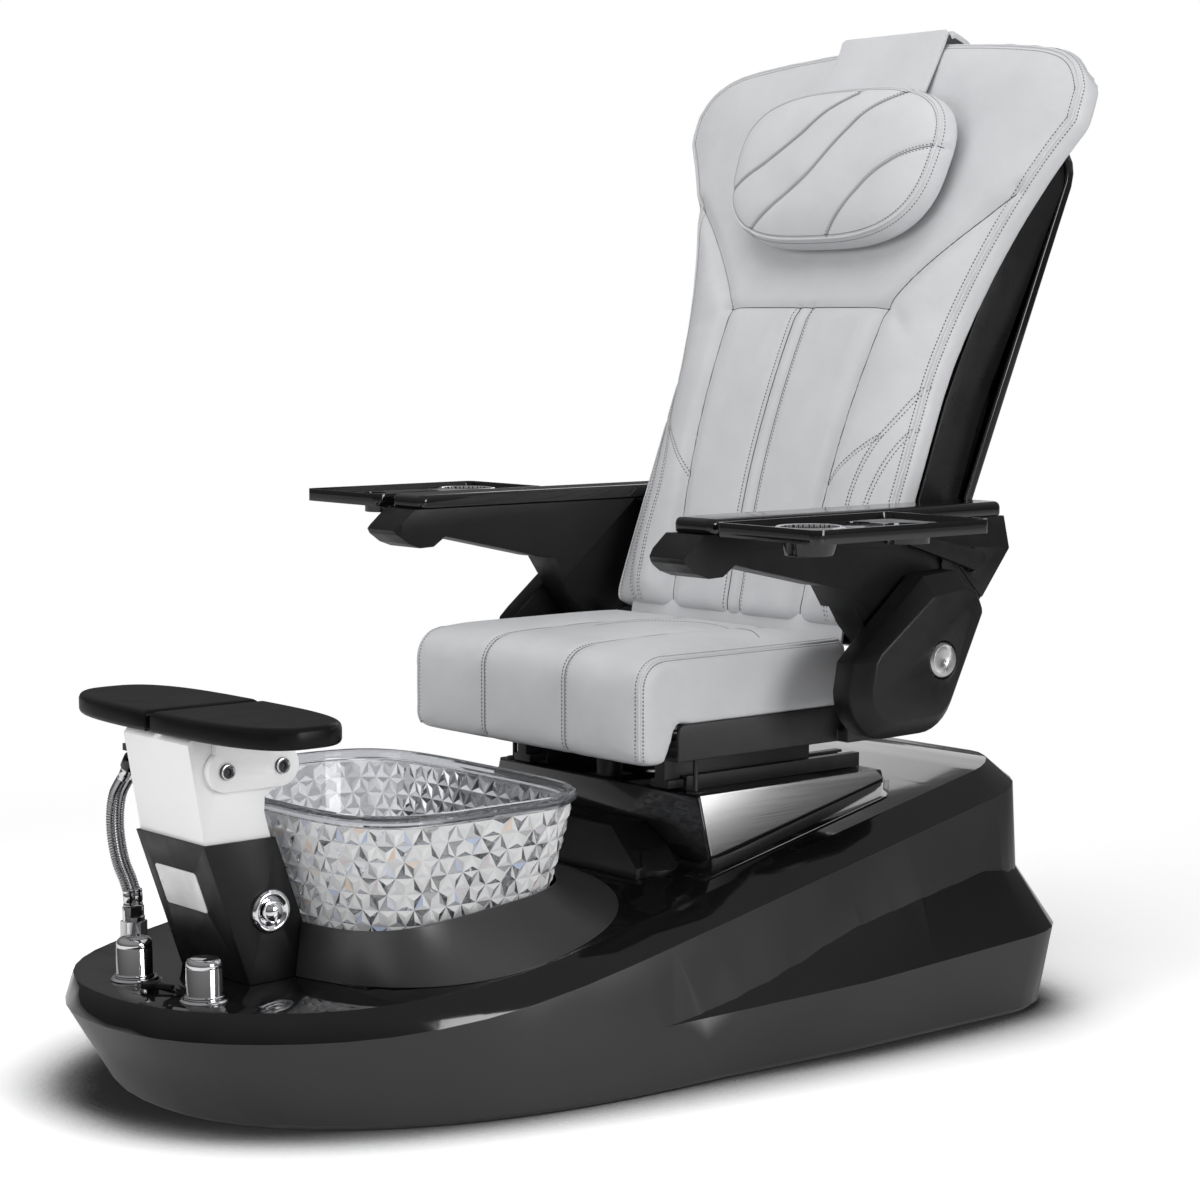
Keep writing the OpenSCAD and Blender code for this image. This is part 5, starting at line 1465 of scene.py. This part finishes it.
def make_world(scene):
    """A dim room, dimmer still in mirrors, that the camera sees as plain white."""
    world = bpy.data.worlds.new("studio")
    world.use_nodes = True
    scene.world = world
    tree = world.node_tree
    way = add_node(tree, "ShaderNodeTexCoord").outputs["Generated"]
    upward = add_node(tree, "ShaderNodeSeparateXYZ", {"Vector": way}).outputs["Z"]
    rays = add_node(tree, "ShaderNodeLightPath").outputs
    shade = tree.nodes["Background"]
    shade.inputs["Color"].default_value = WHITE
    shade.inputs["Strength"].default_value = studio().room
    for ray, strength in (
        ("Is Glossy Ray", mapped(tree, upward, *ROOM_MIRRORED)),
        ("Is Transmission Ray", 1.0),
        ("Is Camera Ray", 1.0),
    ):
        other = add_node(tree, "ShaderNodeBackground", {"Color": WHITE, "Strength": strength})
        shade = blended(tree, rays[ray], shade, other)
    tree.links.new(shade.outputs[0], tree.nodes["World Output"].inputs["Surface"])


def floor_material():
    """Pale floor; the camera sees it as plain white but for the shadow near the chair: the lamps'
    shadow, deepened by painted shadow from ambient occlusion.
    """
    recipe = Recipe("studio floor", (0.8, 0.8, 0.8), 0.9)
    recipe.tint(recipe.noise(2), 0.995, 1.0)
    tree = recipe.tree
    away = recipe.node("ShaderNodeVectorMath", {0: recipe.place}, operation="LENGTH")
    far = mapped(tree, away.outputs["Value"], *FLOOR_MASK, "SMOOTHSTEP")
    # Painted shadow: ambient occlusion darkens the floor's colour near the chair, on top of the
    # lamps' own shadows.
    open_above = recipe.node("ShaderNodeAmbientOcclusion", {"Distance": SHADOW_REACH}, samples=8)
    painted_shadow = mapped(tree, open_above.outputs["AO"], *SHADOW_TONES, "SMOOTHSTEP")
    lit = recipe.node("ShaderNodeBsdfDiffuse", {"Color": painted_shadow})
    seen = blended(tree, far, lit, recipe.node("ShaderNodeEmission"))
    rays = recipe.node("ShaderNodeLightPath").outputs
    straight = {0: rays["Is Camera Ray"], 1: rays["Is Transmission Ray"]}
    share = recipe.node("ShaderNodeMath", straight, operation="MAXIMUM").outputs[0]
    floor = blended(tree, share, recipe.shader, seen)
    tree.links.new(floor.outputs[0], tree.nodes["Material Output"].inputs["Surface"])
    return recipe.material


def make_stage():
    """Camera, room, floor and lamps."""
    scene = bpy.context.scene
    scene.view_settings.view_transform = "Standard"
    camera = bpy.data.objects.new("camera", bpy.data.cameras.new("camera"))
    camera.data.lens = studio().lens
    camera.data.sensor_width = SENSOR
    camera.location = CAMERA_PLACE
    camera.rotation_euler = [math.radians(angle) for angle in CAMERA_TURN]
    scene.collection.objects.link(camera)
    scene.camera = camera
    make_world(scene)

    bm = bmesh.new()
    bmesh.ops.create_grid(bm, x_segments=4, y_segments=4, size=FLOOR_SIZE)
    mesh = bpy.data.meshes.new("floor")
    bm.to_mesh(mesh)
    bm.free()
    floor = bpy.data.objects.new("floor", mesh)
    scene.collection.objects.link(floor)
    mesh.materials.append(floor_material())

    for name, place, target, size, power in LAMPS:
        light = bpy.data.lights.new(name, "AREA")
        light.shape = "RECTANGLE"
        light.size, light.size_y = size
        light.energy = power * studio().lamp_share
        lamp = bpy.data.objects.new(name, light)
        lamp.location = place
        aim = Vector(target) - Vector(place)
        lamp.rotation_euler = aim.to_track_quat("-Z", "Y").to_euler()
        lamp.visible_camera = False
        lamp.visible_glossy = name not in UNMIRRORED
        scene.collection.objects.link(lamp)


# ---- Settings ----


def color_property(name, default, description):
    """A colour that a user may change."""
    return FloatVectorProperty(
        name=name, description=description, subtype="COLOR", size=3, min=0, max=1, default=default
    )


def length_property(name, default, description):
    """A length that a user may change."""
    return FloatProperty(name=name, description=description, unit="LENGTH", default=default)


class SpaChairColors(bpy.types.PropertyGroup):
    """Colours of the finishes"""

    leather: color_property("Leather", LEATHER, "Colour of the upholstery")
    thread: color_property("Thread", THREAD, "Colour of the stitches")
    # Colour of the tubes down in the seams, painted shade.
    seam: color_property("Seam", SEAM_SHADE, "Colour down in the seams")
    gloss: color_property("Gloss", GLOSS, "Colour of the polished deck")
    shell: color_property("Shell", SHELL, "Colour of the satin walls of the base")
    plastic: color_property("Plastic", PLASTIC, "Colour of the grained mouldings")
    enamel: color_property("Enamel", ENAMEL, "Colour of the foot rest's column")


class SpaChairSizes(bpy.types.PropertyGroup):
    """Sizes of the upholstery and the cut glass"""

    stitch: length_property("Stitch", STITCH, "Length of one stitch")
    stitch_pitch: length_property("Stitch Pitch", PITCH, "From stitch to stitch")
    seam_depth: length_property("Seam Depth", SEAM_DEPTH, "How far the back's seams are drawn in")
    back_swell: length_property("Back Swell", BACK_SWELL, "Most that the back may swell")
    pressure: FloatProperty(
        name="Stuffing", description="Pressure of the stuffing in the cloth", default=PRESSURE
    )
    glass_columns: IntProperty(
        name="Glass Columns", description="Stars cut round the bowl", default=STAR_COLUMNS
    )


class SpaChairStage(bpy.types.PropertyGroup):
    """Light and camera"""

    lamp_share: FloatProperty(
        name="Lamps", description="Share of the lamps' power", subtype="FACTOR", default=1.0
    )
    room: FloatProperty(name="Room", description="Light from all round", default=ROOM)
    lens: FloatProperty(
        name="Lens", description="Focal length", subtype="DISTANCE_CAMERA", default=LENS
    )


# ---- Operators ----


class SPACHAIR_OT_mouldings(bpy.types.Operator):
    """Rounds the edges of the rigid mouldings, plates and rails"""

    bl_idname = "spachair.mouldings"
    bl_label = "Mouldings"

    def execute(self, context):
        make_mouldings()
        return {"FINISHED"}


class SPACHAIR_OT_base_shell(bpy.types.Operator):
    """Polishes the deck of the base and leaves its walls satin"""

    bl_idname = "spachair.base_shell"
    bl_label = "Base Shell"

    def execute(self, context):
        make_shell()
        return {"FINISHED"}


class SPACHAIR_OT_bowl_ring(bpy.types.Operator):
    """Builds the satin ring round the foot bowl"""

    bl_idname = "spachair.bowl_ring"
    bl_label = "Bowl Ring"

    def execute(self, context):
        make_bowl_ring()
        return {"FINISHED"}


class SPACHAIR_OT_water_knobs(bpy.types.Operator):
    """Turns the two water knobs"""

    bl_idname = "spachair.water_knobs"
    bl_label = "Water Knobs"

    def execute(self, context):
        make_taps()
        return {"FINISHED"}


class SPACHAIR_OT_column_knob(bpy.types.Operator):
    """Builds the round knob and bezel of the foot rest's column"""

    bl_idname = "spachair.column_knob"
    bl_label = "Column Knob"

    def execute(self, context):
        make_column_knob()
        return {"FINISHED"}


class SPACHAIR_OT_cups(bpy.types.Operator):
    """Gives each cup well a chrome rim over a black cup"""

    bl_idname = "spachair.cups"
    bl_label = "Cup Wells"

    def execute(self, context):
        make_cups()
        return {"FINISHED"}


class SPACHAIR_OT_bolt_rims(bpy.types.Operator):
    """Sets a bright rim round each bolt of the foot rest"""

    bl_idname = "spachair.bolt_rims"
    bl_label = "Bolt Rims"

    def execute(self, context):
        make_bolt_rings()
        return {"FINISHED"}


class SPACHAIR_OT_inner_parts(bpy.types.Operator):
    """Gives the inner parts their finishes"""

    bl_idname = "spachair.inner_parts"
    bl_label = "Inner Parts"

    def execute(self, context):
        dress_inner_parts()
        return {"FINISHED"}


class SPACHAIR_OT_seat(bpy.types.Operator):
    """Stuffs the seat cushion and sews its seams"""

    bl_idname = "spachair.seat"
    bl_label = "Seat Cushion"

    def execute(self, context):
        make_seat()
        return {"FINISHED"}


class SPACHAIR_OT_back(bpy.types.Operator):
    """Stuffs the back cushion and sews its channels and bolsters"""

    bl_idname = "spachair.back"
    bl_label = "Back Cushion"

    def execute(self, context):
        make_back()
        return {"FINISHED"}


class SPACHAIR_OT_pillow(bpy.types.Operator):
    """Stuffs the headrest pillow and sews its lines"""

    bl_idname = "spachair.pillow"
    bl_label = "Headrest Pillow"

    def execute(self, context):
        make_pillow()
        return {"FINISHED"}


class SPACHAIR_OT_foot_pads(bpy.types.Operator):
    """Rounds the two foot pads"""

    bl_idname = "spachair.foot_pads"
    bl_label = "Foot Pads"

    def execute(self, context):
        make_foot_pads()
        return {"FINISHED"}


class SPACHAIR_OT_straps(bpy.types.Operator):
    """Folds the strap, the flap and the strip behind the seat"""

    bl_idname = "spachair.straps"
    bl_label = "Leather Straps"

    def execute(self, context):
        make_straps()
        return {"FINISHED"}


class SPACHAIR_OT_glass_bowl(bpy.types.Operator):
    """Cuts the glass bowl"""

    bl_idname = "spachair.glass_bowl"
    bl_label = "Glass Bowl"

    def execute(self, context):
        make_bowl()
        return {"FINISHED"}


class SPACHAIR_OT_hoses(bpy.types.Operator):
    """Winds the two spray hoses with their collars"""

    bl_idname = "spachair.hoses"
    bl_label = "Spray Hoses"

    def execute(self, context):
        make_hoses()
        return {"FINISHED"}


class SPACHAIR_OT_stage(bpy.types.Operator):
    """Sets the camera, the lamps, the floor and the room"""

    bl_idname = "spachair.stage"
    bl_label = "Stage"

    def execute(self, context):
        make_stage()
        return {"FINISHED"}


OPERATORS = (
    SPACHAIR_OT_mouldings,
    SPACHAIR_OT_base_shell,
    SPACHAIR_OT_bowl_ring,
    SPACHAIR_OT_water_knobs,
    SPACHAIR_OT_column_knob,
    SPACHAIR_OT_cups,
    SPACHAIR_OT_bolt_rims,
    SPACHAIR_OT_inner_parts,
    SPACHAIR_OT_seat,
    SPACHAIR_OT_back,
    SPACHAIR_OT_pillow,
    SPACHAIR_OT_foot_pads,
    SPACHAIR_OT_straps,
    SPACHAIR_OT_glass_bowl,
    SPACHAIR_OT_hoses,
    SPACHAIR_OT_stage,
)
SETTINGS = (SpaChairColors, SpaChairSizes, SpaChairStage)


class SPACHAIR_PT_parts(bpy.types.Panel):
    """Settings of the chair and the steps that build it"""

    bl_idname = "SPACHAIR_PT_parts"
    bl_label = "Spa Chair"
    bl_space_type = "VIEW_3D"
    bl_region_type = "UI"
    bl_category = "Spa Chair"

    def draw(self, context):
        for group in (colors(), sizes(), studio()):
            box = self.layout.box()
            for name in type(group).__annotations__:
                box.prop(group, name)
        column = self.layout.column(align=True)
        for operator in OPERATORS:
            column.operator(operator.bl_idname)


def register():
    for each in (*SETTINGS, *OPERATORS, SPACHAIR_PT_parts):
        bpy.utils.register_class(each)
    bpy.types.Scene.spa_chair_colors = PointerProperty(type=SpaChairColors)
    bpy.types.Scene.spa_chair_sizes = PointerProperty(type=SpaChairSizes)
    bpy.types.Scene.spa_chair_stage = PointerProperty(type=SpaChairStage)


def unregister():
    del bpy.types.Scene.spa_chair_colors
    del bpy.types.Scene.spa_chair_sizes
    del bpy.types.Scene.spa_chair_stage
    for each in reversed((*SETTINGS, *OPERATORS, SPACHAIR_PT_parts)):
        bpy.utils.unregister_class(each)


# ---- Main ----


def main():
    """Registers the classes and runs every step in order."""
    register()
    for operator in OPERATORS:
        group, name = operator.bl_idname.split(".")
        getattr(getattr(bpy.ops, group), name)()


if __name__ == "__main__":
    main()
